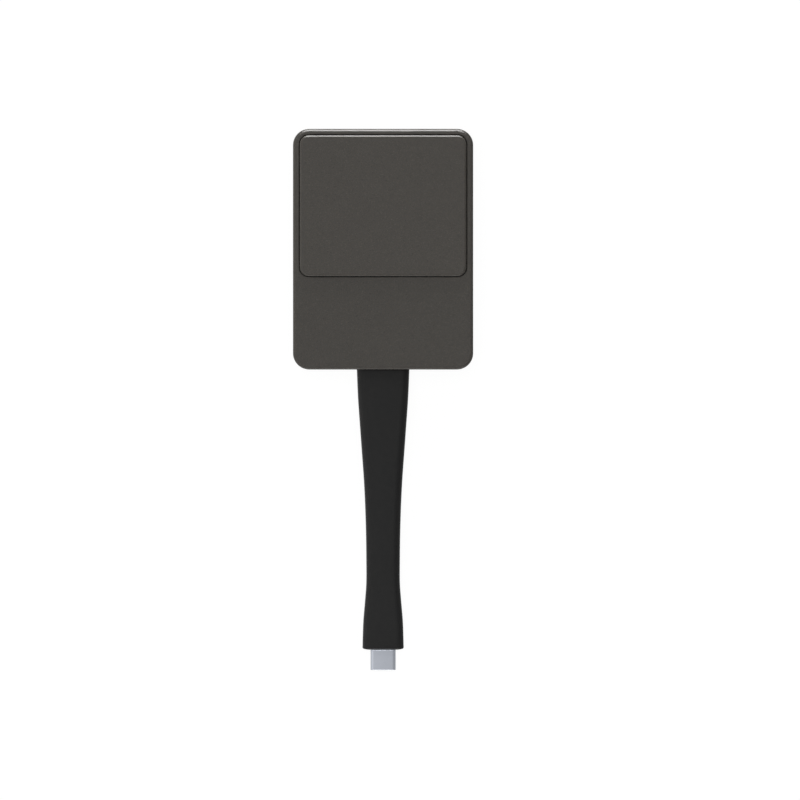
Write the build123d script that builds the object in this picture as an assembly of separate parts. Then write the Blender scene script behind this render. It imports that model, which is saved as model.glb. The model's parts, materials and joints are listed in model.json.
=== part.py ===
from build123d import *
import os
from math import cos, radians, sin

# A wireless presentation dongle that lies on its back. Millimetres. X runs across the housing, Y along
# it with the tail towards -Y, and Z up through the front face. The origin is under the middle of the
# housing, on the surface that its feet stand on.

# Housing
housing_width = 59.1
housing_length = 78.9
housing_height = 13.0  # from the surface under the feet to the front face
housing_corner = 5.3
front_edge_round = 1.05
back_edge_round = 1.2
side_wall = 1.98
button_end_wall = 1.79
tail_end_wall = 1.85
front_skin = 1.8
back_skin = 1.8
lip_thickness = 0.7
lip_height = 1.0
lip_gap = 0.1
parting_groove = 0.2

# Feet and housing screws, one of each near every corner
foot_radius = 4.0
foot_proud = 0.4
foot_recess = 0.8
foot_recess_gap = 0.1
foot_edge_round = 0.3
corner_screw_inset = 6.6  # from the housing's outside to a screw's axis, each way
post_radius = 3.2
boss_radius = 2.4
boss_gap = 0.2

# Screws: the radius of the thread, of the head, and the head's height
housing_thread = 0.9
housing_head = 1.9
housing_head_height = 1.2
housing_screw_length = 6.2
frame_thread = 0.8
frame_head = 1.6
frame_head_height = 0.8
frame_screw_length = 2.9
board_thread = 0.8
board_head = 1.7
board_head_height = 0.9
board_screw_length = 3.4
clamp_thread = 0.7
clamp_head = 1.5
clamp_head_height = 0.8
clamp_screw_length = 3.2
screw_gap = 0.02  # between a thread and the hole that it cuts
clearance_gap = 0.2  # between a thread and a hole that it passes through
head_edge_round = 0.3
recess_depth = 0.5
recess_width = 0.4
recess_share = 1.2  # a recess's length as a share of its head's radius

# Button
button_length = 46.31
button_gap = 0.24
button_corner = 3.0
button_edge_round = 0.75
button_proud = 1.2
button_travel = 0.5
button_skin = 1.6
button_skirt_wall = 1.2
button_skirt_depth = 2.0  # below the front face
window_edge_round = 0.15
pusher_radius = 2.5
leg_width = 3.2
leg_thickness = 1.2
leg_inset = 5.0  # from the button's top and bottom edges to a leg's middle
leg_spread = 14.0  # from the button's middle line to a leg's middle
leg_reach = 0.6  # a leg's length below the guide frame
hook_depth = 0.6
hook_gap = 0.1
slot_gap = 0.3

# Guide frame under the button
frame_thickness = 1.2
frame_gap = 0.3  # to the housing's walls
frame_reach = 0.9  # under the front face, past the window's tail edge
frame_run_gap = 0.3  # under the pressed button's skirt
frame_screw_inset = 3.75  # from the housing's walls to a screw's axis
frame_screw_step = 3.4  # from the upper housing screws to the upper frame screws, along Y
frame_screw_rise = 8.6  # from the window's tail edge to the lower frame screws
sleeve_wall = 1.4
sleeve_height = 1.0
pusher_gap = 0.3
frame_window = 11.0
frame_window_corner = 1.5
dome_base_radius = 3.2
dome_top_radius = 1.6
dome_wall = 0.5
dome_thick_wall = 0.7  # at a dome's top and under its rim
dome_spread_x = 10.0
dome_spread_y = 11.0

# Switch
switch_size = 6.2
switch_height = 2.6
switch_floor = 0.9
switch_cavity_radius = 2.4
switch_cover_thickness = 0.2
plunger_radius = 1.7
plunger_flange_radius = 2.2
plunger_flange_height = 0.8
plunger_gap = 0.1
plunger_side_gap = 0.15
snap_dome_radius = 2.1
snap_dome_rise = 0.6
snap_dome_thickness = 0.1
terminal_reach = 1.2
terminal_width = 0.8
terminal_thickness = 0.2
terminal_spread = 2.2

# Main board
board_thickness = 1.0
board_corner = 1.0
board_wall_gap = 1.65
board_screw_inset = 2.4  # from the board's side edges
board_tail_gap = 8.5  # from the housing's tail wall to the board
board_button_gap = 1.5  # from the housing's wall at the button's end to the board
board_post_gap = 0.5
board_boss_radius = 2.0
under_board_space = 2.2
board_notch_width = 12.0
board_notch_depth = 4.0
tail_board_screw_y = 22.5  # from the housing's tail wall

# Parts on the board
can_wall = 0.2
memory_can_size = (30.0, 12.0, 2.0)
memory_can_gap = 3.1  # from the housing's wall at the button's end to the memory's shield
memory_chip_size = (10.0, 9.0, 1.0)
memory_chip_spread = 7.2
radio_x = -14.0  # from the button's middle
radio_gap = 3.0  # from the memory's shield to the wireless board
radio_board_size = (14.0, 15.0, 0.8)
radio_can_size = (12.5, 10.0, 1.6)
radio_can_shift = 2.0
radio_plug_radius = 1.1
radio_plug_height = 1.1
radio_plug_spread = 3.5
radio_plug_inset = 2.2
processor_size = 13.0
processor_y = 6.0
chip_thickness = 1.0
spreader_size = (30.0, 26.0)
spreader_thickness = 0.6
spreader_corner = 1.5
power_chip_size = 5.0
power_chip_x = 12.0
power_chip_y = 24.0  # from the housing's tail wall
inductor_size = 4.0
inductor_corner = 0.6
inductor_height = 2.0
inductor_x = 12.5
inductor_y = 17.5  # from the housing's tail wall
inductor_pitch = 6.0
inductor_core_radius = 1.5
inductor_groove = 0.2
crystal_size = (3.2, 2.5, 0.8)
crystal_corner = 0.4
crystal_x = 9.0
crystal_y = -3.0  # from the button's middle
capacitor_size = (1.6, 0.8, 0.8)
capacitor_pitch = 1.8
power_row_y = 4.2  # from the power chip's middle
radio_row_y = 1.8  # from the wireless board's edge
resistor_size = (1.0, 0.5, 0.35)
resistor_pitch = 1.4
crystal_row_x = 5.0  # from the crystal's middle
crystal_row_y = 3.0
row_count = 6

# Antennas and their leads
antenna_size = (12.0, 9.0, 0.6)
antenna_wall_gap = 6.5
antenna_y = 12.5  # from the housing's tail wall
antenna_pad_inset = 1.5
lead_radius = 0.5
lead_height = 1.9  # of the leads above the board
lead_bend = 1.6
lead_out = 6.4  # straight out of the connector
lead_turn = 8.0  # from a lead's turn to its antenna
lead_rise = 3.2  # from the top of a lead's rise to its antenna

# Tail, from the housing to the plug
tail_axis_height = 5.4
tail_length = 92.05
tail_corner = 2.7
tail_end_corner = 2.4
tail_end_round = 0.5
tail_clearance = 0.12
tail_flange_reach = 2.0
tail_flange_thickness = 2.0
tail_flange_height = 6.0
flange_gap = 0.15
rib_thickness = 1.2
# The tail's taper: a distance from the housing, and the tail's width and thickness there
taper_stations = [
    (0.0, 17.26, 7.8),
    (9.0, 16.52, 7.6),
    (18.0, 15.28, 7.25),
    (27.0, 13.99, 6.85),
    (36.0, 12.68, 6.5),
    (45.0, 11.79, 6.3),
    (54.0, 11.26, 6.2),
    (63.0, 11.04, 6.2),
]
# The grip round the plug: a distance back from the tail's end, and the width and thickness there
grip_stations = [
    (21.8, 11.07, 6.22),
    (15.8, 11.93, 6.42),
    (9.8, 12.95, 6.78),
    (4.8, 13.34, 6.97),
    (0.0, 13.56, 7.0),
]

# Cable inside the tail
wire_count = 6
wire_radius = 0.38
wire_gap = 0.14  # between a wire and the next one round the cable
wire_bend = 0.8
braid_gap = 0.12
braid_wall = 0.3
jacket_gap = 0.05
jacket_wall = 0.55
cable_hole_gap = 0.03
jacket_end = 7.6  # past the housing's tail wall, inside
clamp_width = 3.0
clamp_thickness = 0.8
clamp_start = 3.9  # from the housing's tail wall
clamp_screw_spread = 6.2
clamp_post_radius = 1.8
clamp_post_drop = 0.2

# Cable socket on the board and the plug housing in it
socket_size = (14.0, 4.5, 3.0)
socket_y = 13.8  # from the housing's tail wall to the socket's front
socket_wall = 0.4
wire_housing_size = (12.6, 5.0, 2.0)
wire_housing_out = 1.5
wire_housing_gap = 0.1
wire_pitch = 1.7
wire_entry = 0.6

# USB-C plug. Its shell's width, thickness and reach are the standard's
shell_width = 8.25
shell_thickness = 2.4
shell_reach = 6.65
shell_wall = 0.25
shell_side_round = 1.15
shell_mouth_round = 0.2
shell_lip = 0.3
shell_lip_reach = 0.2
shell_length = 12.0
insulator_gap = 0.05
insulator_set_back = 0.15
insulator_length = 8.6
tongue_slot_width = 6.7
tongue_slot_height = 1.0
tongue_slot_round = 0.45
tongue_slot_depth = 5.6
contact_pitch = 0.5
contacts_a_side = 12
contact_width = 0.24
contact_thickness = 0.12
contact_set_back = 0.9
contact_inside_face = 0.4  # from the plug's middle plane to a contact
contact_length = 10.5
latch_width = 0.5
latch_length = 5.0
latch_thickness = 0.2
ground_spring_size = (1.4, 2.2, 0.1)
ground_spring_spread = 2.2
ground_spring_set_back = 1.8
plug_board_side_gap = 0.175
plug_board_length = 6.4
plug_chip_size = (1.6, 1.2, 0.5)
plug_chip_gap = 0.3  # behind the contacts
plug_capacitor_spread = 2.4
back_shield_side = 0.475  # wider than the plug's shell, each side
back_shield_over = 0.9  # thicker than the plug's shell, or more round a thick braid
back_shield_wall = 0.25
back_shield_start = 11.0
back_shield_length = 7.0
mould_side = 0.875  # wider than the plug's shell, each side
mould_wall = 0.4  # above and below the back shield
mould_jacket_wall = 0.15  # above and below the cable's jacket
mould_start = 7.6
mould_length = 11.2
mould_gap = 0.05
braid_reach = 0.8  # into the back shield
wire_pad_length = 1.8
wire_pad_gap = 0.04
wire_pad_spread = 2.0

BASE = (Align.CENTER, Align.CENTER, Align.MIN)
cut_past = 1.0  # how far a cut runs past the face that it opens

# Sizes of the cable and the plug that follow from others, from the inside out
wire_ring_radius = (wire_radius + wire_gap / 2) / sin(radians(180 / wire_count))
braid_inside = wire_ring_radius + wire_radius + braid_gap
braid_radius = braid_inside + braid_wall
jacket_inside = braid_radius + jacket_gap
jacket_radius = jacket_inside + jacket_wall
wire_pad_height = contact_inside_face + wire_radius + wire_pad_gap
plug_board_start = shell_lip + insulator_set_back + insulator_length + insulator_gap
plug_board_width = shell_width - 2 * (shell_wall + plug_board_side_gap)
back_shield_width = shell_width + 2 * back_shield_side
back_shield_thickness = 2 * max(
    shell_thickness / 2 + back_shield_over, braid_radius + mould_gap + back_shield_wall
)
mould_width = shell_width + 2 * mould_side
mould_thickness = 2 * max(
    back_shield_thickness / 2 + mould_wall, jacket_radius + mould_gap + mould_jacket_wall
)

# Places along Y, from the button's end to the plug's mouth
button_end_y = housing_length / 2
tail_wall_y = -housing_length / 2
cavity_top_y = button_end_y - button_end_wall
cavity_tail_y = tail_wall_y + tail_end_wall
cavity_length = cavity_top_y - cavity_tail_y
cavity_mid_y = (cavity_top_y + cavity_tail_y) / 2
cavity_width = housing_width - 2 * side_wall
cavity_corner = button_corner + button_gap
button_width = cavity_width - 2 * button_gap
button_mid_y = cavity_top_y - button_gap - button_length / 2
window_length = button_length + 2 * button_gap
window_tail_y = button_mid_y - window_length / 2
tail_end_y = tail_wall_y - tail_length
plug_tip_y = tail_end_y - shell_reach
mould_tip_y = plug_tip_y + mould_start
shield_far_y = plug_tip_y + back_shield_start
shield_rear_y = shield_far_y + back_shield_length
braid_far_y = shield_rear_y - braid_reach
jacket_far_y = shield_rear_y + mould_gap
jacket_near_y = cavity_tail_y + jacket_end
socket_front_y = cavity_tail_y + socket_y
wire_housing_y = socket_front_y - wire_housing_out
memory_mid_y = cavity_top_y - memory_can_gap - memory_can_size[1] / 2
radio_mid_y = memory_mid_y - (memory_can_size[1] + radio_board_size[1]) / 2 - radio_gap
radio_plug_y = radio_mid_y - radio_board_size[1] / 2 + radio_plug_inset
antenna_mid_y = cavity_tail_y + antenna_y

# Heights
back_z = foot_proud
floor_z = back_z + back_skin
front_z = housing_height
ceiling_z = front_z - front_skin
parting_z = tail_axis_height
lip_top_z = parting_z + lip_height
boss_bottom_z = lip_top_z + boss_gap
board_bottom_z = floor_z + under_board_space
board_top_z = board_bottom_z + board_thickness
button_top_z = front_z + button_proud
button_ceiling_z = button_top_z - button_skin
skirt_bottom_z = front_z - button_skirt_depth
frame_top_z = skirt_bottom_z - button_travel - frame_run_gap
frame_bottom_z = frame_top_z - frame_thickness
switch_top_z = board_top_z + switch_height
plunger_top_z = frame_bottom_z + button_travel
pusher_bottom_z = plunger_top_z + plunger_gap
foot_top_z = back_z + foot_recess
head_seat_z = foot_top_z + housing_head_height + clearance_gap
clamp_post_z = parting_z - clamp_post_drop
clamp_seat_z = clamp_post_z + clamp_thickness
radio_top_z = board_top_z + radio_board_size[2]
wire_row_z = board_top_z + socket_size[2] / 2

# Places of repeated parts
corner_x = housing_width / 2 - corner_screw_inset
corner_y = housing_length / 2 - corner_screw_inset
corner_screws = [(side * corner_x, end * corner_y) for side in (-1, 1) for end in (-1, 1)]
frame_screw_x = cavity_width / 2 - frame_screw_inset
frame_screws = [
    (side * frame_screw_x, y)
    for side in (-1, 1)
    for y in (window_tail_y + frame_screw_rise, corner_y - frame_screw_step)
]
board_width = cavity_width - 2 * board_wall_gap
board_screw_x = board_width / 2 - board_screw_inset
board_screws = [
    (side * board_screw_x, y)
    for side in (-1, 1)
    for y in (button_mid_y, cavity_tail_y + tail_board_screw_y)
]
clamp_y = cavity_tail_y + clamp_start + clamp_width / 2
clamp_screws = [(side * clamp_screw_spread, clamp_y) for side in (-1, 1)]
legs = [(side * leg_spread, end) for side in (-1, 1) for end in (-1, 1)]
domes = [
    (x * dome_spread_x, button_mid_y + y * dome_spread_y)
    for x in (-1, 1)
    for y in (-1, 1)
]
radio_plugs = [radio_x - radio_plug_spread, radio_x + radio_plug_spread]
antenna_x = cavity_width / 2 - antenna_wall_gap - antenna_size[0] / 2
tail_stations = taper_stations + [
    (tail_length - distance, width, thickness) for distance, width, thickness in grip_stations
]
root_width, root_thickness = tail_stations[0][1:]


def block(size_x, size_y, low_z, high_z, x=0, y=0):
    """A block between two heights, centred at x and y."""
    return Pos(x, y, low_z) * Box(size_x, size_y, high_z - low_z, align=BASE)


def disc(radius, low_z, high_z, x=0, y=0):
    """An upright cylinder between two heights, centred at x and y."""
    return Pos(x, y, low_z) * Cylinder(radius, high_z - low_z, align=BASE)


def rounded_block(size_x, size_y, corner, low_z, high_z, x=0, y=0):
    """A block between two heights whose upright edges are rounded."""
    outline = RectangleRounded(size_x, size_y, corner)
    return Pos(x, y, low_z) * extrude(outline, high_z - low_z)


def tail_plane(y):
    """The tail's cross-section plane at y: its own X is X, its own Y is Z and it faces -Y."""
    return Plane(origin=(0, y, tail_axis_height), x_dir=(1, 0, 0), z_dir=(0, -1, 0))


def along_tail(outline, near_y, far_y):
    """Extrudes a cross-section of the tail from near_y down to far_y."""
    return extrude(tail_plane(near_y) * outline, near_y - far_y)


def tail_block(size_x, size_z, near_y, far_y, x=0, z=0):
    """A block on the tail's axis between two places along Y, moved by x and z."""
    return Pos(x, 0, z) * along_tail(Rectangle(size_x, size_z), near_y, far_y)


def tail_disc(radius, near_y, far_y, x=0, z=0):
    """A cylinder along the tail's axis between two places along Y, moved by x and z."""
    return Pos(x, 0, z) * along_tail(Circle(radius), near_y, far_y)


def screw(x, y, seat_z, thread, head, head_height, length, up=False):
    """A cross-recess screw whose head seats at seat_z. Its head is on top, or below if it points up."""
    body = disc(head, 0, head_height)
    body = fillet(body.edges().group_by(Axis.Z)[-1], head_edge_round)
    body += disc(thread, -length, 0)
    for turn in (0, 90):
        slot = block(head * recess_share, recess_width, head_height - recess_depth, head_height)
        body -= Rot(0, 0, turn) * slot
    if up:
        body = Rot(180, 0, 0) * body
    return Pos(x, y, seat_z) * body


def cavity(low_z, high_z, grow=0):
    """The space between the housing's walls, its outline grown by a distance."""
    size_x = cavity_width + 2 * grow
    size_y = cavity_length + 2 * grow
    return rounded_block(size_x, size_y, cavity_corner + grow, low_z, high_z, y=cavity_mid_y)


def housing_outside():
    """Both shells' outside as one solid, before it is parted."""
    body = rounded_block(housing_width, housing_length, housing_corner, back_z, front_z)
    body = fillet(body.edges().group_by(Axis.Z)[-1], front_edge_round)
    return fillet(body.edges().group_by(Axis.Z)[0], back_edge_round)


def tail_opening():
    """The hole in the tail wall that the tail's root fills, with its clearance."""
    outline = RectangleRounded(
        root_width + 2 * tail_clearance,
        root_thickness + 2 * tail_clearance,
        tail_corner + tail_clearance,
    )
    return along_tail(outline, cavity_tail_y, tail_wall_y - cut_past)


def flange_rib(low_z, high_z):
    """A rib across a shell that traps the tail's flange, with a notch for the cable."""
    near_y = cavity_tail_y + 2 * flange_gap + tail_flange_thickness + rib_thickness
    width = root_width + 2 * tail_flange_reach
    rib = block(width, rib_thickness, low_z, high_z, y=near_y - rib_thickness / 2)
    return rib - tail_disc(jacket_radius + clearance_gap, near_y + cut_past, tail_wall_y)


def bottom_housing():
    """The back shell: floor, walls, lip, screw posts, board bosses and clamp posts."""
    lower = Plane.XY.offset(parting_z)
    shell = split(housing_outside(), bisect_by=lower, keep=Keep.BOTTOM)
    shell += cavity(floor_z, lip_top_z, lip_thickness)
    shell -= cavity(floor_z, lip_top_z)
    for x, y in corner_screws:
        shell += disc(post_radius, floor_z, lip_top_z, x, y) & cavity(floor_z, lip_top_z)
    for x, y in board_screws:
        shell += disc(board_boss_radius, floor_z, board_bottom_z, x, y)
    for x, y in clamp_screws:
        shell += disc(clamp_post_radius, floor_z, clamp_post_z, x, y)
    shell += flange_rib(floor_z, parting_z - boss_gap)
    for x, y in corner_screws:
        shell -= disc(foot_radius + foot_recess_gap, back_z, foot_top_z, x, y)
        shell -= disc(housing_head + clearance_gap, foot_top_z, head_seat_z, x, y)
        shell -= disc(housing_thread + clearance_gap, head_seat_z, lip_top_z, x, y)
    for x, y in board_screws:
        low_z = board_top_z - board_screw_length - clearance_gap
        shell -= disc(board_thread + screw_gap, low_z, board_bottom_z, x, y)
    for x, y in clamp_screws:
        low_z = clamp_seat_z - clamp_screw_length - clearance_gap
        shell -= disc(clamp_thread + screw_gap, low_z, clamp_post_z, x, y)
    return shell - tail_opening()


def top_housing():
    """The front shell: face, walls, button window, screw bosses and a rib for the tail's flange."""
    upper = Plane.XY.offset(parting_z)
    shell = split(housing_outside(), bisect_by=upper, keep=Keep.TOP)
    shell -= cavity(parting_z, ceiling_z)
    window = rounded_block(
        cavity_width, window_length, cavity_corner, ceiling_z, front_z, y=button_mid_y
    )
    shell -= window
    rim = [
        edge
        for edge in shell.edges().group_by(Axis.Z)[-1]
        if edge.center().Y > window_tail_y - cavity_corner
        and abs(edge.center().X) < cavity_width / 2 + window_edge_round
        and edge.center().Y < cavity_top_y + window_edge_round
    ]
    shell = fillet(rim, window_edge_round)
    shell -= cavity(parting_z, lip_top_z + lip_gap, lip_thickness + lip_gap)
    for x, y in corner_screws:
        reach_z = frame_bottom_z if y > 0 else ceiling_z
        boss = disc(boss_radius, boss_bottom_z, reach_z, x, y)
        web_x = cavity_width / 2 - abs(x)
        side = 1 if x > 0 else -1
        boss += block(web_x, 2 * boss_radius, boss_bottom_z, reach_z, x + side * web_x / 2, y)
        shell += boss & cavity(boss_bottom_z, reach_z)
        shell -= disc(
            housing_thread + screw_gap,
            boss_bottom_z,
            head_seat_z + housing_screw_length + clearance_gap,
            x,
            y,
        )
    for x, y in frame_screws:
        side = 1 if x > 0 else -1
        boss = disc(boss_radius, boss_bottom_z, frame_bottom_z, x, y)
        boss += block(
            frame_screw_inset,
            2 * boss_radius,
            boss_bottom_z,
            frame_bottom_z,
            x + side * frame_screw_inset / 2,
            y,
        )
        shell += boss
        shell -= disc(frame_thread + screw_gap, boss_bottom_z, frame_bottom_z, x, y)
    shell += flange_rib(parting_z + boss_gap, ceiling_z)
    shell -= tail_opening()
    return shell - parting_gap()


def parting_gap():
    """A shallow groove round the outside where the two shells meet."""
    outline = RectangleRounded(housing_width, housing_length, housing_corner)
    inner = RectangleRounded(
        housing_width - 2 * parting_groove,
        housing_length - 2 * parting_groove,
        housing_corner - parting_groove,
    )
    return Pos(0, 0, parting_z) * extrude(outline - inner, parting_groove)


def rubber_feet():
    """Four round feet in the back's recesses, which hide the housing screws."""
    feet = []
    for x, y in corner_screws:
        foot = disc(foot_radius, 0, foot_top_z, x, y)
        feet.append(fillet(foot.edges().group_by(Axis.Z)[0], foot_edge_round))
    return Compound(feet)


def housing_screws():
    """Four screws from the back, under the feet."""
    return Compound(
        [
            screw(
                x,
                y,
                head_seat_z,
                housing_thread,
                housing_head,
                housing_head_height,
                housing_screw_length,
                up=True,
            )
            for x, y in corner_screws
        ]
    )


def button_cap():
    """The raised push button with its skirt, its four hooked legs and the pusher in its middle."""
    cap = rounded_block(
        button_width, button_length, button_corner, skirt_bottom_z, button_top_z, y=button_mid_y
    )
    cap = fillet(cap.edges().group_by(Axis.Z)[-1], button_edge_round)
    cap -= rounded_block(
        button_width - 2 * button_skirt_wall,
        button_length - 2 * button_skirt_wall,
        button_corner - button_skirt_wall,
        skirt_bottom_z,
        button_ceiling_z,
        y=button_mid_y,
    )
    cap += disc(pusher_radius, pusher_bottom_z, button_ceiling_z, 0, button_mid_y)
    for x, end in legs:
        cap += hooked_leg(x, end)
    return cap


def leg_y(end):
    """The middle of the legs near the button's top edge, for end 1, or bottom edge, for end -1."""
    return button_mid_y + end * (button_length / 2 - leg_inset)


def hooked_leg(x, end):
    """A leg that passes through the guide frame and hooks under it, away from the button's middle."""
    y = leg_y(end)
    low_z = frame_bottom_z - leg_reach
    leg = block(leg_width, leg_thickness, low_z, button_ceiling_z, x, y)
    hook_top_z = frame_bottom_z - hook_gap
    outer = y + end * leg_thickness / 2
    profile = Polyline(
        (outer, low_z),
        (outer + end * hook_depth, hook_top_z),
        (outer, hook_top_z),
        close=True,
    )
    side = Plane(origin=(x - leg_width / 2, 0, 0), x_dir=(0, 1, 0), z_dir=(1, 0, 0))
    return leg + extrude(side * make_face(profile), leg_width)


def button_guide_frame():
    """A plate screwed into the front shell that guides the button and carries its return domes."""
    plate_length = window_length - frame_gap + frame_reach
    plate = rounded_block(
        cavity_width - 2 * frame_gap,
        plate_length,
        cavity_corner - frame_gap,
        frame_bottom_z,
        frame_top_z,
        y=cavity_top_y - frame_gap - plate_length / 2,
    )
    sleeve_radius = pusher_radius + pusher_gap + sleeve_wall
    plate += disc(sleeve_radius, frame_top_z, frame_top_z + sleeve_height, 0, button_mid_y)
    plate -= disc(
        pusher_radius + pusher_gap, frame_bottom_z, frame_top_z + sleeve_height, 0, button_mid_y
    )
    for x, y in frame_screws:
        plate -= disc(frame_thread + clearance_gap, frame_bottom_z, frame_top_z, x, y)
    for x, end in legs:
        slot_y = 2 * leg_thickness + hook_depth
        middle = leg_y(end) + end * (leg_thickness / 2 + slot_gap - slot_y / 2)
        plate -= block(
            leg_width + 2 * slot_gap, slot_y, frame_bottom_z, frame_top_z, x, middle
        )
    for x in (-1, 1):
        plate -= rounded_block(
            frame_window,
            frame_window,
            frame_window_corner,
            frame_bottom_z,
            frame_top_z,
            x * (sleeve_radius + frame_window / 2 + dome_wall),
            button_mid_y,
        )
    return plate


def guide_frame_screws():
    """Four screws from the front, through the guide frame into the front shell's bosses."""
    return Compound(
        [
            screw(
                x, y, frame_top_z, frame_thread, frame_head, frame_head_height, frame_screw_length
            )
            for x, y in frame_screws
        ]
    )


def return_domes():
    """Four silicone domes between the guide frame and the button, which push the button back."""
    height = button_ceiling_z - frame_top_z
    side = Plane(origin=(0, 0, 0), x_dir=(1, 0, 0), z_dir=(0, -1, 0))
    profile = Polyline(
        (dome_base_radius, 0),
        (dome_base_radius, dome_wall),
        (dome_top_radius + dome_wall, height - dome_wall),
        (dome_top_radius, height),
        (0, height),
        (0, height - dome_thick_wall),
        (dome_top_radius - dome_wall, height - dome_thick_wall),
        (dome_base_radius - dome_thick_wall, 0),
        close=True,
    )
    dome = revolve(side * make_face(profile), Axis.Z)
    return Compound([Pos(x, y, frame_top_z) * dome for x, y in domes])


def switch_body():
    """The tactile switch's moulded body with its round well."""
    body = block(switch_size, switch_size, board_top_z, switch_top_z, 0, button_mid_y)
    well_z = board_top_z + switch_floor
    return body - disc(switch_cavity_radius, well_z, switch_top_z, 0, button_mid_y)


def switch_cover():
    """The thin metal plate that keeps the plunger in the switch, with a tab down two sides."""
    top_z = switch_top_z + switch_cover_thickness
    cover = block(switch_size, switch_size, switch_top_z, top_z, 0, button_mid_y)
    for side in (-1, 1):
        y = button_mid_y + side * (switch_size + switch_cover_thickness) / 2
        cover += block(
            switch_size / 2, switch_cover_thickness, board_top_z + switch_floor, top_z, 0, y
        )
    hole = disc(plunger_radius + plunger_side_gap, switch_top_z, top_z, 0, button_mid_y)
    return cover - hole


def switch_plunger():
    """The plunger that the button's pusher presses."""
    flange_top_z = switch_top_z - plunger_gap
    stem = disc(plunger_radius, flange_top_z - plunger_flange_height, plunger_top_z)
    stem = fillet(stem.edges().group_by(Axis.Z)[-1], 2 * plunger_gap)
    stem += disc(plunger_flange_radius, flange_top_z - plunger_flange_height, flange_top_z)
    return Pos(0, button_mid_y, 0) * stem


def switch_dome():
    """The snap dome under the plunger: a thin metal cap with its rim on the well's floor."""
    well_z = board_top_z + switch_floor
    ball = (snap_dome_radius**2 + snap_dome_rise**2) / (2 * snap_dome_rise)
    centre_z = well_z + snap_dome_rise - ball
    shell = Sphere(ball) - Sphere(ball - snap_dome_thickness)
    shell = Pos(0, button_mid_y, centre_z) * shell
    return shell & disc(switch_cavity_radius, well_z, switch_top_z, 0, button_mid_y)


def switch_terminals():
    """The switch's four solder legs."""
    legs_out = []
    for side in (-1, 1):
        for end in (-1, 1):
            x = side * (switch_size / 2 + terminal_reach / 2)
            y = button_mid_y + end * terminal_spread
            legs_out.append(
                block(
                    terminal_reach,
                    terminal_width,
                    board_top_z,
                    board_top_z + terminal_thickness,
                    x,
                    y,
                )
            )
    return Compound(legs_out)


def main_board():
    """The circuit board, narrower past the upper screw posts, with a notch for the cable's wires."""
    low_y = cavity_tail_y + board_tail_gap
    high_y = cavity_top_y - board_button_gap
    step_y = corner_y - post_radius - board_post_gap
    narrow = 2 * (corner_x - post_radius - board_post_gap)
    board = block(
        board_width, step_y - low_y, board_bottom_z, board_top_z, 0, (step_y + low_y) / 2
    )
    board += block(narrow, high_y - low_y, board_bottom_z, board_top_z, 0, (high_y + low_y) / 2)
    board = fillet(board.edges().filter_by(Axis.Z), board_corner)
    board -= block(
        board_notch_width,
        2 * board_notch_depth,
        board_bottom_z,
        board_top_z,
        0,
        low_y,
    )
    for x, y in board_screws:
        board -= disc(board_thread + clearance_gap, board_bottom_z, board_top_z, x, y)
    return board


def board_screws_group():
    """Four screws that hold the board on the back shell's bosses."""
    return Compound(
        [
            screw(x, y, board_top_z, board_thread, board_head, board_head_height, board_screw_length)
            for x, y in board_screws
        ]
    )


def can(size, x, y, low_z):
    """An open-bottomed sheet metal shield."""
    size_x, size_y, height = size
    outside = rounded_block(size_x, size_y, 2 * can_wall, low_z, low_z + height, x, y)
    inside = block(
        size_x - 2 * can_wall, size_y - 2 * can_wall, low_z, low_z + height - can_wall, x, y
    )
    return outside - inside


def memory_shield_can():
    """The shield over the memory."""
    return can(memory_can_size, 0, memory_mid_y, board_top_z)


def memory_chips():
    """Two memory chips under their shield."""
    size_x, size_y, height = memory_chip_size
    top_z = board_top_z + height
    return Compound(
        [
            block(size_x, size_y, board_top_z, top_z, side * memory_chip_spread, memory_mid_y)
            for side in (-1, 1)
        ]
    )


def wireless_module_board():
    """The small board of the wireless module, soldered to the main board."""
    size_x, size_y, height = radio_board_size
    return block(size_x, size_y, board_top_z, board_top_z + height, radio_x, radio_mid_y)


def wireless_shield_can():
    """The wireless module's shield."""
    return can(radio_can_size, radio_x, radio_mid_y + radio_can_shift, radio_top_z)


def antenna_connectors():
    """The two round coaxial connectors on the wireless module."""
    top_z = radio_top_z + radio_plug_height
    return Compound(
        [disc(radio_plug_radius, radio_top_z, top_z, x, radio_plug_y) for x in radio_plugs]
    )


def processor_chip():
    """The processor, on the underside of the main board."""
    y = button_mid_y + processor_y
    return block(
        processor_size, processor_size, board_bottom_z - chip_thickness, board_bottom_z, 0, y
    )


def thermal_pad():
    """The soft pad between the processor and the heat spreader."""
    y = button_mid_y + processor_y
    return block(
        processor_size,
        processor_size,
        floor_z + spreader_thickness,
        board_bottom_z - chip_thickness,
        0,
        y,
    )


def heat_spreader():
    """A metal plate on the back shell's floor that spreads the processor's heat."""
    size_x, size_y = spreader_size
    top_z = floor_z + spreader_thickness
    y = button_mid_y + processor_y
    return rounded_block(size_x, size_y, spreader_corner, floor_z, top_z, 0, y)


def power_chip():
    """The power regulator."""
    y = cavity_tail_y + power_chip_y
    return block(
        power_chip_size,
        power_chip_size,
        board_top_z,
        board_top_z + chip_thickness,
        power_chip_x,
        y,
    )


def power_inductors():
    """Two square inductors with their round cores showing."""
    coils = []
    top_z = board_top_z + inductor_height
    groove_z = top_z - inductor_groove
    y = cavity_tail_y + inductor_y
    for side in (-1, 1):
        x = inductor_x + side * inductor_pitch / 2
        coil = rounded_block(
            inductor_size, inductor_size, inductor_corner, board_top_z, top_z, x, y
        )
        coil -= disc(inductor_core_radius + inductor_groove, groove_z, top_z, x, y)
        coil += disc(inductor_core_radius, groove_z, top_z, x, y)
        coils.append(coil)
    return Compound(coils)


def clock_crystal():
    """The processor's clock crystal in its metal case."""
    size_x, size_y, height = crystal_size
    top_z = board_top_z + height
    y = button_mid_y + crystal_y
    return rounded_block(size_x, size_y, crystal_corner, board_top_z, top_z, crystal_x, y)


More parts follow.
